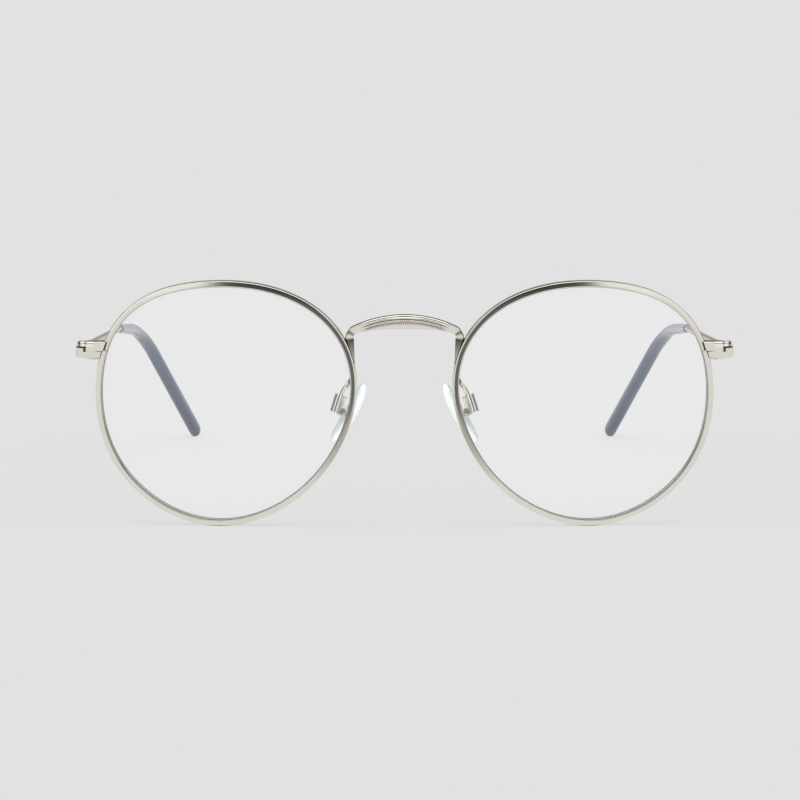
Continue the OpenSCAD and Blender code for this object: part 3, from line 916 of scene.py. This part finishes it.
class EYEWEAR_OT_endpieces(bpy.types.Operator):
    """Adds the endpieces, their closing blocks and the lens screws"""
    bl_idname = "eyewear.endpieces"
    bl_label = "Endpieces"

    def strap(self, sizes, lens_t):
        corner, thick = sizes.corner / MM, sizes.strap_t / MM
        tier = sizes.tier / MM
        low, high = END_Z - END_H / 2, END_Z + END_H / 2
        centre = Vector((SIDE_X - corner, END_Y + 2.2, 0))
        face = math.radians(PLATE_TURN)

        def facing(a):
            return Vector((math.sin(a), -math.cos(a), 0))

        def ring(base, out, section):
            return [base + out * a + UP * z for a, z in section]

        # the front plate faces slightly outwards; it runs from the rim's side to the corner
        bend = centre + facing(face) * corner
        along = Vector((math.cos(face), math.sin(face), 0))
        rings = []
        plain = strap_section(thick, low, high, 0, 0, 0)
        first = []
        for a, z in plain:
            x = seat_x(z, lens_t)
            fall = LAP_DROP if a > -0.5 else 0
            first.append(bend + along * ((x - bend.x) / along.x) + facing(face) * (a - fall)
                         + UP * z)
        rings.append(first)
        for back in (2.4, 1.2, 0.72):
            rings.append(ring(bend - along * back, facing(face), plain))
        for back, t, line, notch in ((0.6, 0.5, 0.3, 0.45), (0.25, 0.9, 0.35, 0.55),
                                     (0.12, 1, 0.4, 0)):
            section = strap_section(thick, low, high, tier * t, line, notch)
            rings.append(ring(bend - along * back, facing(face), section))
        # round the corner
        for i in range(2, 15):
            out = facing(mix(face, math.pi / 2, i / 14))
            base = centre + out * corner
            t, l, h = self.side_levels(base.y, low, high)
            rings.append(ring(base, out, strap_section(thick, l, h, tier * t, 0.4 * t, 0)))
        # back along the side to the hinge
        back = PIN_DEPTH - 0.05
        out = Vector((1, 0, 0))
        for y in (5.9, 6.3, 6.7, 7.05, LOW_FROM, 8.4, 9.4, back - 0.12, back - 0.03, back):
            t, l, h = self.side_levels(y, low, high)
            pull = max(0, y - back + 0.12) * 0.8
            mid = Vector((SIDE_X - thick / 2, y, (l + h) / 2))
            section = strap_section(thick, l, h, tier * t, 0.4 * t, 0)
            full = ring(Vector((SIDE_X, y, 0)), out, section)
            rings.append([p + (mid - p) * pull for p in full])
        unshaded = [[0] * len(row) for row in rings]
        strap = skin("endpiece", rings, unshaded)
        # a thin lap covers the outer half of the rim's face, above the closing block
        front = bend.y - (bend.x - seat_x(END_Z, lens_t, 0)) * along.y / along.x
        lap = [self.lap_ring(sizes.seam / MM * k, front, drop, high, lens_t)
               for k, drop in ((0, 0.4), (0.9, 0.06), (1.2, 0))]
        tail = [Vector((SIDE_X - 4, p.y + 0.3, p.z)) for p in lap[-1]]
        # painted shadow: the lap's bevelled edge is darkened along the seam against the rim
        lap = skin("lap", [*lap, tail], [[k] * len(tail) for k in (1, 1, 0, 0)])
        return cut_or_join(lap, strap, "UNION")

    def lap_ring(self, inset, front, drop, high, lens_t):
        """A ring across the lap, beside its edge; drop sets its face back."""
        low = LAP_LOW
        soft = 0.08
        rear = front + 0.75
        corners = [(front + drop, low), (front + drop, high - 2 * soft),
                   (min(rear - soft, front + drop + 2 * soft), high - soft * 0.5),
                   (rear, high - soft * 0.5), (rear, low)]
        return [Vector((seat_x(z, lens_t, 0) + inset, y, z)) for y, z in corners]

    def side_levels(self, y, low, high):
        """How much tier is left, and the strap's bottom and top, at a depth."""
        t = 1 - ease((y - 5.6) / 1.4)
        k = min(1, max(0, (y - END_Y - 1.3) / (LOW_FROM - END_Y - 1.3)))
        return t, mix(low, HINGE_Z - 1.2, k), mix(high, HINGE_Z + 1.2, k)

    def execute(self, context):
        sizes = context.scene.eyewear_endpieces
        lens_t = context.scene.eyewear_rims.lens_t / MM
        plate_back = END_Y + sizes.strap_t / MM
        strap = self.strap(sizes, lens_t)
        low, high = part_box("closing_block_left")
        low = low / MM - Vector((0, FRONT_Y, 0))
        high = high / MM - Vector((0, FRONT_Y, 0))
        upper = rim_block("upper", (0, plate_back - 0.3, high.z + 0.2),
                          (high.x, high.y, END_Z + END_H / 2 - 0.05), lens_t)
        cut_or_join(strap, upper, "UNION")
        pair(seat(strap), "endpiece_plate", fitting_metal(), "front", "endpiece")
        clamp = rim_block("clamp", low, high, lens_t)
        pair(seat(clamp), "closing_clamp", fitting_metal(), "front", "closing_block")
        self.lens_screw(context)
        return {"FINISHED"}

    def lens_screw(self, context):
        """A slotted countersunk screw, from below."""
        centre = middle("lens_screw_left")
        low, high = (v.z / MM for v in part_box("lens_screw_left"))
        head, radius = 0.63, 0.5
        profile = [(0.4, low - 0.04), (head - 0.06, low - 0.03), (head, low + 0.04)]
        profile += [(radius, low + 0.5)]
        pitch = 0.25
        z = low + 0.7
        while z < high - pitch:
            profile += [(radius, z), (radius - 0.08, z + pitch / 2)]
            z += pitch
        profile += [(radius, high - 0.12), (radius - 0.1, high)]
        screw = turned("screw", profile)
        slot_w = context.scene.eyewear_hinges.slot_w / MM
        slot = block("slot", (-2, -slot_w / 2, low - 1), (2, slot_w / 2, low + 0.3), 0.02)
        cut_or_join(screw, slot, "DIFFERENCE")
        place = Matrix.Translation((centre.x * MM, centre.y * MM, 0))
        pair(seat(screw, place), "closing_screw", steel(), "front", "lens_screw")


# ---- hinges

KNUCKLE_LEVELS = (HINGE_Z - 1.75, HINGE_Z - 0.8, HINGE_Z + 0.3, HINGE_Z + 1.15)
HINGE_GAP = 0.05
LEAF_REACH = 1.35


class EYEWEAR_OT_hinges(bpy.types.Operator):
    """Adds the three-knuckle hinges and their screws"""
    bl_idname = "eyewear.hinges"
    bl_label = "Hinges"

    def execute(self, context):
        sizes = context.scene.eyewear_hinges
        radius, pin_r = sizes.knuckle_r / MM, sizes.pin_r / MM
        leaf_inner = 0.2
        leaf_outer = SIDE_X - context.scene.eyewear_endpieces.strap_t / MM - PIN.x + 0.03
        a, b, c, d = KNUCKLE_LEVELS
        front = block("leaf", (leaf_inner, LOW_FROM - PIN.y, a), (leaf_outer, -LEAF_REACH, d))
        for low, high in ((a, b - HINGE_GAP), (c + HINGE_GAP, d)):
            arm = block("arm", (leaf_inner, LOW_FROM - PIN.y + 0.2, low), (radius, 0, high), 0.06)
            cut_or_join(front, arm, "UNION")
            cut_or_join(front, pin("barrel", radius, low, high), "UNION")
        cut_or_join(front, pin("drill", pin_r - 0.02, a - 1, d + 1), "DIFFERENCE")
        rear = block("leaf", (leaf_inner, LEAF_REACH, HINGE_Z - 0.95),
                     (leaf_outer, 15 - PIN.y, HINGE_Z + 0.95))
        arm = block("arm", (leaf_inner, 0, b), (radius, 2.2, c), 0.06)
        cut_or_join(rear, arm, "UNION")
        cut_or_join(rear, pin("barrel", radius, b, c), "UNION")
        cut_or_join(rear, pin("drill", pin_r + 0.03, b - 1, c + 1), "DIFFERENCE")
        place = SEAT @ Matrix.Translation((PIN.x * MM, PIN.y * MM, 0))
        pair(seat(front, place), "front_knuckles", fitting_metal(), "front", "hinge_front")
        pair(seat(rear, place), "temple_knuckle", fitting_metal(), "temple_{}_body",
             "hinge_temple")
        self.hinge_screw(sizes, place, a, d)
        return {"FINISHED"}

    def hinge_screw(self, sizes, place, low, high):
        """A slotted cheese-head screw, from above, with its plain end showing."""
        radius = sizes.pin_r / MM
        head, head_h, crown = 0.95, 0.3, 0.05
        profile = [(radius - 0.12, low + 0.02), (radius, low + 0.12), (radius, high)]
        profile += [(head - 0.05, high + 0.005), (head, high + 0.06)]
        profile += [(head, high + head_h - 0.1), (head - 0.04, high + head_h - 0.03)]
        profile += [(head - 0.12, high + head_h), (0.35, high + head_h + crown * 0.2)]
        screw = turned("screw", profile, 48)
        half = sizes.slot_w / MM / 2
        slot = block("slot", (-2, -half, high + head_h - 0.2), (2, half, high + 1), 0.02)
        cut_or_join(screw, slot, "DIFFERENCE")
        turn = Matrix.Rotation(math.radians(35), 4, "Z")
        pair(seat(screw, place @ turn), "hinge_pin", steel(), "front", "hinge_screw")


# ---- temples and tips

TEMPLE_START = Vector((SIDE_X - 0.65, PIN_DEPTH + 0.05, HINGE_Z))
TEMPLE_KNEE = Vector((64.2, 87, 31.9))
BEND_START = Vector((62.6, 99, 30.5))
BEND_END = Vector((59, 116.5, 23.2))
TIP_END = Vector((50.9, 141, 1.92))
TIP_SIDE = -unit((BEND_START - TEMPLE_KNEE).cross(TIP_END - BEND_END))
LEAD = 0.2
BEND = 0.5
CORE_END = 0.92


def tip_line(k):
    """The middle line of a tip: a short lead, the bend behind the ear and the drop."""
    straight, drop = unit(BEND_START - TEMPLE_KNEE), unit(TIP_END - BEND_END)
    reach = 5.2
    if k < LEAD:
        return mix(TEMPLE_KNEE, BEND_START, k / LEAD)
    if k < BEND:
        return bezier(BEND_START, BEND_START + straight * reach, BEND_END - drop * reach,
                      BEND_END, (k - LEAD) / (BEND - LEAD))
    return mix(BEND_END, TIP_END, (k - BEND) / (1 - BEND))


def core_share(k):
    """The core is drawn thinner inside the tip: its share of the wire's thickness."""
    return mix(1, 0.55, ease((k - 0.02) / 0.2)) * mix(1, 0.35, ease((k - 0.45) / 0.45))


def tip_way(k):
    step = 0.01
    return unit(tip_line(min(1, k + step)) - tip_line(max(0, k - step)))


def strap_ring(p, along, side, width, height, shape, points=32):
    """A ring across a strap or wire; shape 1 is round and less is more square."""
    up = unit(side.cross(along))
    out = along.cross(up)
    ring = []
    for j in range(points):
        a = math.tau * j / points
        ring.append(p + out * (width / 2 * power(math.cos(a), shape))
                    + up * (height / 2 * power(math.sin(a), shape)))
    return ring


def tip_ring(k, width, height, shape=1, ahead=0):
    """A ring across the tip's middle line, this far ahead of the station k."""
    way = tip_way(k)
    return strap_ring(tip_line(k) + way * ahead, way, TIP_SIDE, width, height, shape)


class EYEWEAR_OT_temples(bpy.types.Operator):
    """Adds the temples, which start as straps and become round wire"""
    bl_idname = "eyewear.temples"
    bl_label = "Temples"

    def execute(self, context):
        sizes = context.scene.eyewear_temples
        strap_t = context.scene.eyewear_endpieces.strap_t / MM
        strap_h = sizes.strap_h / MM
        wire = 2 * sizes.core_r / MM
        way = unit(TEMPLE_KNEE - TEMPLE_START)
        side = Vector((1, 0, 0))
        round_from = 0.3
        square = 0.42
        ends = ((0, 0.86), (0.04, 0.95), (0.12, 1))
        rings = [strap_ring(TEMPLE_START + Vector((0, y, 0)), Vector((0, 1, 0)), side,
                            strap_t * k, strap_h * k, square) for y, k in ends]
        steps = 70
        for i in range(1, steps):
            k = (i / steps) ** 1.3
            e = ease(k / round_from)
            rings.append(strap_ring(mix(TEMPLE_START, TEMPLE_KNEE, k), way,
                                    unit(mix(side, TIP_SIDE, k)), mix(strap_t, wire, e),
                                    mix(strap_h, wire, e), mix(square, 1, e)))
        stop = 80
        for i in range(stop + 1):
            k = CORE_END * i / stop
            thin = wire * core_share(k)
            rings.append(tip_ring(k, thin, thin))
        thin = wire * core_share(CORE_END)
        # the core's blunt end
        for drop, k in ((0.2, 0.9), (0.35, 0.6)):
            rings.append(tip_ring(CORE_END, thin * k, thin * k, ahead=drop))
        temple = seat(skin("temple", rings))
        pair(temple, "temple_bar", frame_metal(), "temple_{}_body", "temple", 40)
        return {"FINISHED"}


class EYEWEAR_OT_tips(bpy.types.Operator):
    """Adds the acetate tips, each with a channel for the temple's core"""
    bl_idname = "eyewear.tips"
    bl_label = "Ear tips"

    def execute(self, context):
        sizes = context.scene.eyewear_temples
        look = context.scene.eyewear_finishes
        wire = 2 * sizes.core_r / MM
        inset = 0.08
        mouth_w, mouth_h = 2.1, 2.2
        tip_w, tip_h = sizes.tip_w / MM, sizes.tip_h / MM
        steps = 110
        shape = 0.95
        inside = [i for i in range(steps + 1) if i / steps <= CORE_END - 0.005]
        core = wire * core_share(CORE_END) - inset
        rings = [tip_ring(CORE_END, core * 0.5, core * 0.5, ahead=0.2)]
        for i in reversed(inside):
            core = wire * core_share(i / steps) - inset
            rings.append(tip_ring(i / steps, core, core))
        for ahead, k in ((-0.16, 0.8), (-0.14, 0.9), (-0.06, 0.98)):
            rings.append(tip_ring(0, mouth_w * k, mouth_h * k, shape, ahead))
        for i in range(1, steps + 1):
            k = i / steps
            width = mix(mouth_w, tip_w, ease(k / 0.5))
            rings.append(tip_ring(k, width, mix(mouth_h, tip_h, k), shape))
        # the rounded end
        end_l, end_steps = 1.6, 8
        for i in range(1, end_steps + 1):
            a = math.radians(86 * i / end_steps)
            rings.append(tip_ring(1, tip_w * math.cos(a), tip_h * math.cos(a), shape,
                                  math.sin(a) * end_l))
        tip = seat(skin("tip", rings))
        finish = smoke_acetate(look.acetate, look.acetate_depth)
        pair(tip, "ear_tip", finish, "temple_{}_body", "temple_tip", 40)
        return {"FINISHED"}


# ---- nose pads

PAD_PIN = Vector((12.7, 8, 23.1))
PAD_TILT = 30
BOX_TILT = 18
PAD_SPLAY = 14
PAD_REACH = 1.95
PAD_RISE = 0.2
BOX_W = 1.5
EAR_T = 0.5
EAR_R = 0.8
EAR_DROP = 0.4
WALL_T = 0.5
BOX_H = 2.9
BOX_BACK = 1.1
WALL_FLARE = 0.45
LAY_ALONG_Y = Matrix.Rotation(math.radians(90), 4, "X")


def at_pad(tilt):
    """A pad's own axes, from its pin: X to the nose, Y to the back and Z up the pad."""
    return (
        SEAT
        @ Matrix.Translation(PAD_PIN * MM)
        @ Matrix.Rotation(math.radians(-PAD_SPLAY), 4, "Z")
        @ Matrix.Rotation(math.radians(-tilt), 4, "Y")
        @ Matrix.Diagonal((-1, 1, 1, 1))
    )


class EYEWEAR_OT_pad_holders(bpy.types.Operator):
    """Adds the pad arms, the boxes on their ends and the small screws"""
    bl_idname = "eyewear.pad_holders"
    bl_label = "Pad holders"

    def arm(self, radius):
        root, foot = Vector((10.65, 2.4, 29.6)), Vector((12.85, 8.1, 25.75))
        steps = 48
        line = [bezier(root, root + Vector((0.1, 5.5, -0.5)), foot + Vector((-0.5, 0.3, 1.8)),
                       foot, i / steps) for i in range(steps + 1)]
        rings = []
        for i, p in enumerate(line):
            way = unit(line[min(steps, i + 1)] - line[max(0, i - 1)])
            across = unit(way.cross(Vector((1, 0, 0))))
            # the solder swells the wire where it meets the rim
            solder = 1 + 0.5 * (1 - ease(i / 7))
            rings.append(strap_ring(p, way, across, 2 * radius * solder, 2 * radius * solder,
                                    1, 24))
        return seat(skin("arm", rings))

    def holder(self):
        """The little open box whose ears hold the pad's pin."""
        outer = BOX_W / 2 + EAR_T
        wall = skin("wall", *self.wall_rings(outer))
        top = block("top", (-BOX_BACK - 0.2, -outer, BOX_H - WALL_T), (0.05, outer, BOX_H), 0.1)
        cut_or_join(wall, top, "UNION")
        for y in (-outer, BOX_W / 2):
            ear = block("ear", (-BOX_BACK - 0.2, y, -EAR_R / 2), (0, y + EAR_T, BOX_H - 0.1), 0.06)
            cut_or_join(wall, ear, "UNION")
            for z in (0, -EAR_DROP):
                lobe = pin("lobe", EAR_R, -EAR_T, 0)
                lobe.data.transform(Matrix.Translation((0, y * MM, z * MM)) @ LAY_ALONG_Y)
                cut_or_join(wall, lobe, "UNION")
        return seat(wall, at_pad(BOX_TILT))

    def wall_rings(self, outer):
        """The back wall, rolled into two ribs along its length: its rings from the bottom
        up, and their painted shade, which lies between the ribs and at the far edge."""
        soft = 0.1
        rib_r = 0.45
        near = arc(0.08, rib_r - outer, rib_r, -90, -15, 8)
        far = arc(0.5, rib_r + 0.55 - outer, rib_r, -105, 0, 10)
        profile = [(-0.2, -outer, 0), *[(x, y, 0) for x, y in near[:-1]], (*near[-1], 0.9),
                   (*far[0], 0.9), *[(x, y, 0) for x, y in far[1:]],
                   (WALL_FLARE + WALL_T, outer - 0.2, 0.7), (WALL_FLARE + WALL_T - 0.1, outer, 0.7),
                   (-0.2, outer, 0)]
        rings, painted_shade = [], []
        for drop, z in ((soft, -EAR_R), (0, soft - EAR_R), (0, BOX_H - soft), (soft, BOX_H)):
            k = 1 - drop / outer
            rings.append([Vector((-BOX_BACK - x * k, y * k, z)) for x, y, dark in profile])
            painted_shade.append([dark for x, y, dark in profile])
        return rings, painted_shade

    def screw(self, slot_w):
        outer = BOX_W / 2 + EAR_T
        head_r, head_h = 0.5, 0.28
        screw = turned("screw", [
            (0.24, -outer - 0.06), (0.36, -outer + 0.05), (0.36, outer), (head_r - 0.04, outer),
            (head_r, outer + 0.05), (head_r, outer + head_h * 0.55),
            (head_r * 0.82, outer + head_h * 0.9), (head_r * 0.5, outer + head_h),
        ])
        half = slot_w * 0.4
        slot = block("slot", (-1, -half, outer + head_h - 0.15), (1, half, outer + 1), 0.02)
        cut_or_join(screw, slot, "DIFFERENCE")
        turn = Matrix.Rotation(math.radians(25), 4, "Z")
        screw.data.transform(LAY_ALONG_Y @ turn)
        return seat(screw, at_pad(PAD_TILT))

    def execute(self, context):
        sizes = context.scene.eyewear_pads
        slot_w = context.scene.eyewear_hinges.slot_w / MM
        pair(self.arm(sizes.wire_r / MM), "pad_wire", frame_metal(), "front", "pad_arm",
             40)
        pair(self.holder(), "pad_holder", fitting_metal(), "front", "pad_box")
        pair(self.screw(slot_w), "pad_pivot", steel(), "front", "pad_screw")
        return {"FINISHED"}


class EYEWEAR_OT_pads(bpy.types.Operator):
    """Adds the moulded pads and the metal inserts that they are moulded over"""
    bl_idname = "eyewear.pads"
    bl_label = "Nose pads"

    def pad(self, pad_l, pad_w, pad_t):
        """An oval jelly that is fuller at its lower end and bows away from the nose."""
        levels = 12
        rings = []
        for i in range(levels + 1):
            a = math.radians(mix(-86, 86, i / levels))
            share = math.cos(a) ** 0.42
            x = PAD_REACH + pad_t / 2 * math.sin(a)
            ring = []
            for j in range(64):
                b = math.tau * j / 64
                z = pad_l / 2 * mix(1, share, 0.62) * math.sin(b)
                y = pad_w / 2 * share * math.cos(b) * (1 - 0.16 * math.sin(b))
                ring.append((x - 0.4 * (2 * z / pad_l) ** 2, y, z + PAD_RISE))
            rings.append(ring)
        return seat(skin("pad", rings), at_pad(PAD_TILT))

    def insert(self):
        """A lug for the pin, on a plate that is moulded into the pad."""
        lug_t, lug_r = 1.3, 0.7
        lug = pin("lug", lug_r, -lug_t / 2, lug_t / 2)
        lug.data.transform(LAY_ALONG_Y)
        foot_x = PAD_REACH - 0.2
        neck = block("neck", (0, -lug_t / 2 + 0.05, -lug_r + 0.05),
                     (foot_x, lug_t / 2 - 0.05, lug_r - 0.05), 0.15)
        cut_or_join(lug, neck, "UNION")
        plate = pin("plate", 1, -0.15, 0.15)
        plate.data.transform(
            Matrix.Translation(((foot_x - 0.05) * MM, 0, -0.3 * MM))
            @ Matrix.Diagonal((1, 1.6, 3.4, 1))
            @ Matrix.Rotation(math.radians(90), 4, "Y")
        )
        cut_or_join(lug, plate, "UNION")
        drill = pin("drill", 0.39, -2, 2)
        drill.data.transform(LAY_ALONG_Y)
        cut_or_join(lug, drill, "DIFFERENCE")
        return seat(lug, at_pad(PAD_TILT))

    def execute(self, context):
        sizes = context.scene.eyewear_pads
        look = context.scene.eyewear_finishes
        pad = self.pad(sizes.pad_l / MM, sizes.pad_w / MM, sizes.pad_t / MM)
        pair(pad, "pad_jelly", clear_pad(look.pad), "pad_{}_body", "nose_pad",
             60)
        pair(self.insert(), "pad_insert", fitting_metal(), "pad_{}_body", "pad_mount")
        return {"FINISHED"}


# ---- floor, light and camera

class EYEWEAR_OT_stage(bpy.types.Operator):
    """Adds the pale floor, the soft light and the camera"""
    bl_idname = "eyewear.stage"
    bl_label = "Stage"

    def floor(self, look):
        bpy.ops.object.select_all(action="DESELECT")
        bpy.ops.mesh.primitive_plane_add(size=600, location=(0, 0, -0.02 * MM))
        floor = bpy.context.object
        floor.name = "studio_floor"
        floor.data.materials.append(studio_floor(look.floor, look.lit_below))
        # the metal mirrors the room's own pale floor instead, with its gap at the front
        floor.visible_glossy = False

    def world(self, scene, look):
        """A dim room with a wide light overhead and one at each side of the camera.

        The metal mirrors all of it: the pale floor below, the dim walls as dark lines,
        and the dark gap round the camera along the rims' upper and nasal sides.
        """
        world = bpy.data.worlds.new("studio_room")
        scene.world = world
        world.use_nodes = True
        tree = world.node_tree
        tree.nodes.clear()
        place = put(tree, "ShaderNodeTexCoord").outputs["Generated"]
        way = put(tree, "ShaderNodeSeparateXYZ", [("Vector", place)]).outputs
        aside = put(tree, "ShaderNodeMath", [(0, way["X"])], operation="ABSOLUTE")
        # each mask rises from 0 to 1 between two shares of the way along an axis
        edges = {
            "overhead": (way["Z"], 0.46, 0.56),
            "overhead_back": (way["Y"], 0.4, 0.1),
            "box_inner": (aside, 0.18, 0.26),
            "box_outer": (aside, 0.94, 0.86),
            "box_front": (way["Y"], -0.12, -0.3),
            "box_top": (way["Z"], 0.36, 0.3),
            "above": (way["Z"], -0.01, 0.01),
            "below": (way["Z"], 0.01, -0.01),
            "back": (way["Y"], 0.8, 0.92),
            "back_top": (way["Z"], 0.32, 0.24),
            "gap_sides": (aside, 0.3, 0.2),
            "gap_front": (way["Y"], -0.5, -0.62),
            "gap_floor": (way["Z"], -0.34, -0.24),
        }
        masks = {
            name: put(tree, "ShaderNodeMapRange", [("Value", source)],
                      interpolation_type="SMOOTHSTEP", From_Min=low, From_Max=high)
            for name, (source, low, high) in edges.items()
        }
        zones = (
            (look.overhead, ("overhead", "overhead_back")),
            (look.side_boxes, ("box_inner", "box_outer", "box_front", "box_top", "above")),
            (look.back_wall, ("back", "back_top", "above")),
            (look.floor_seen, ("below",)),
            (-look.gap * look.floor_seen, ("below", "gap_sides", "gap_front", "gap_floor")),
        )
        total = look.walls
        for share, names in zones:
            for name in names:
                share = put(tree, "ShaderNodeMath", [(0, masks[name]), (1, share)],
                            operation="MULTIPLY")
            total = put(tree, "ShaderNodeMath", [(0, share), (1, total)], operation="ADD")
        lit = put(tree, "ShaderNodeBackground", [("Strength", total)], Color=linear("#ffffff"))
        seen = put(tree, "ShaderNodeBackground", Color=linear("#e2e2e2"))
        path = put(tree, "ShaderNodeLightPath").outputs
        straight = put(tree, "ShaderNodeMath", operation="MAXIMUM", inputs=[
            (0, path["Is Camera Ray"]), (1, path["Is Transmission Ray"]),
        ])
        both = put(tree, "ShaderNodeMixShader", [("Fac", straight), (1, lit), (2, seen)])
        put(tree, "ShaderNodeOutputWorld", [("Surface", both)])

    def light(self, name, way, strength, angle):
        """A soft light far off, which shines along "way"."""
        lamp = bpy.data.lights.new(name, "SUN")
        lamp.energy = strength
        lamp.angle = math.radians(angle)
        holder = bpy.data.objects.new(name, lamp)
        holder.rotation_euler = Vector(way).to_track_quat("-Z", "Y").to_euler()
        # the metal mirrors the lights of the room, not this one
        holder.visible_glossy = False
        bpy.context.collection.objects.link(holder)

    def camera(self, scene):
        lens = bpy.data.cameras.new("camera")
        lens.lens = 144
        lens.sensor_width = 36
        lens.clip_end = 1000
        holder = bpy.data.objects.new("camera", lens)
        aside, distance, height = -2.15, 635, 103.57
        down, turn = 6.952, -0.11
        holder.location = Vector((aside, FRONT_Y - distance, height)) * MM
        holder.rotation_euler = (math.radians(90 - down), 0, math.radians(turn))
        bpy.context.collection.objects.link(holder)
        scene.camera = holder

    def execute(self, context):
        scene = context.scene
        self.floor(scene.eyewear_stage)
        self.world(scene, scene.eyewear_stage)
        self.light("softbox", (0.15, 0.6, -1.0), 0.9, 80)
        self.camera(scene)
        scene.view_settings.view_transform = "Standard"
        return {"FINISHED"}


# ---- panel and registration

OPERATORS = (
    EYEWEAR_OT_rims,
    EYEWEAR_OT_lenses,
    EYEWEAR_OT_bridge,
    EYEWEAR_OT_endpieces,
    EYEWEAR_OT_hinges,
    EYEWEAR_OT_temples,
    EYEWEAR_OT_tips,
    EYEWEAR_OT_pad_holders,
    EYEWEAR_OT_pads,
    EYEWEAR_OT_stage,
)
GROUPS = {
    "eyewear_rims": EyewearRims,
    "eyewear_bridge": EyewearBridge,
    "eyewear_endpieces": EyewearEndpieces,
    "eyewear_hinges": EyewearHinges,
    "eyewear_temples": EyewearTemples,
    "eyewear_pads": EyewearPads,
    "eyewear_finishes": EyewearFinishes,
    "eyewear_stage": EyewearStage,
}


class EYEWEAR_PT_panel(bpy.types.Panel):
    """Lists the pieces of the eyeglasses"""
    bl_idname = "EYEWEAR_PT_panel"
    bl_label = "Eyeglasses"
    bl_space_type = "VIEW_3D"
    bl_region_type = "UI"
    bl_category = "Eyeglasses"

    def draw(self, context):
        for step in OPERATORS:
            self.layout.operator(step.bl_idname, text=step.bl_label)
        for name, group in GROUPS.items():
            box = self.layout.box()
            box.label(text=group.__doc__)
            for prop in group.__annotations__:
                box.prop(getattr(context.scene, name), prop)


def register():
    for group in GROUPS.values():
        bpy.utils.register_class(group)
    for step in (*OPERATORS, EYEWEAR_PT_panel):
        bpy.utils.register_class(step)
    for name, group in GROUPS.items():
        setattr(bpy.types.Scene, name, PointerProperty(type=group))


def unregister():
    for name in GROUPS:
        delattr(bpy.types.Scene, name)
    for step in (EYEWEAR_PT_panel, *reversed(OPERATORS)):
        bpy.utils.unregister_class(step)
    for group in reversed(list(GROUPS.values())):
        bpy.utils.unregister_class(group)


def main():
    register()
    for step in OPERATORS:
        group, name = step.bl_idname.split(".")
        getattr(getattr(bpy.ops, group), name)()


if __name__ == "__main__":
    main()
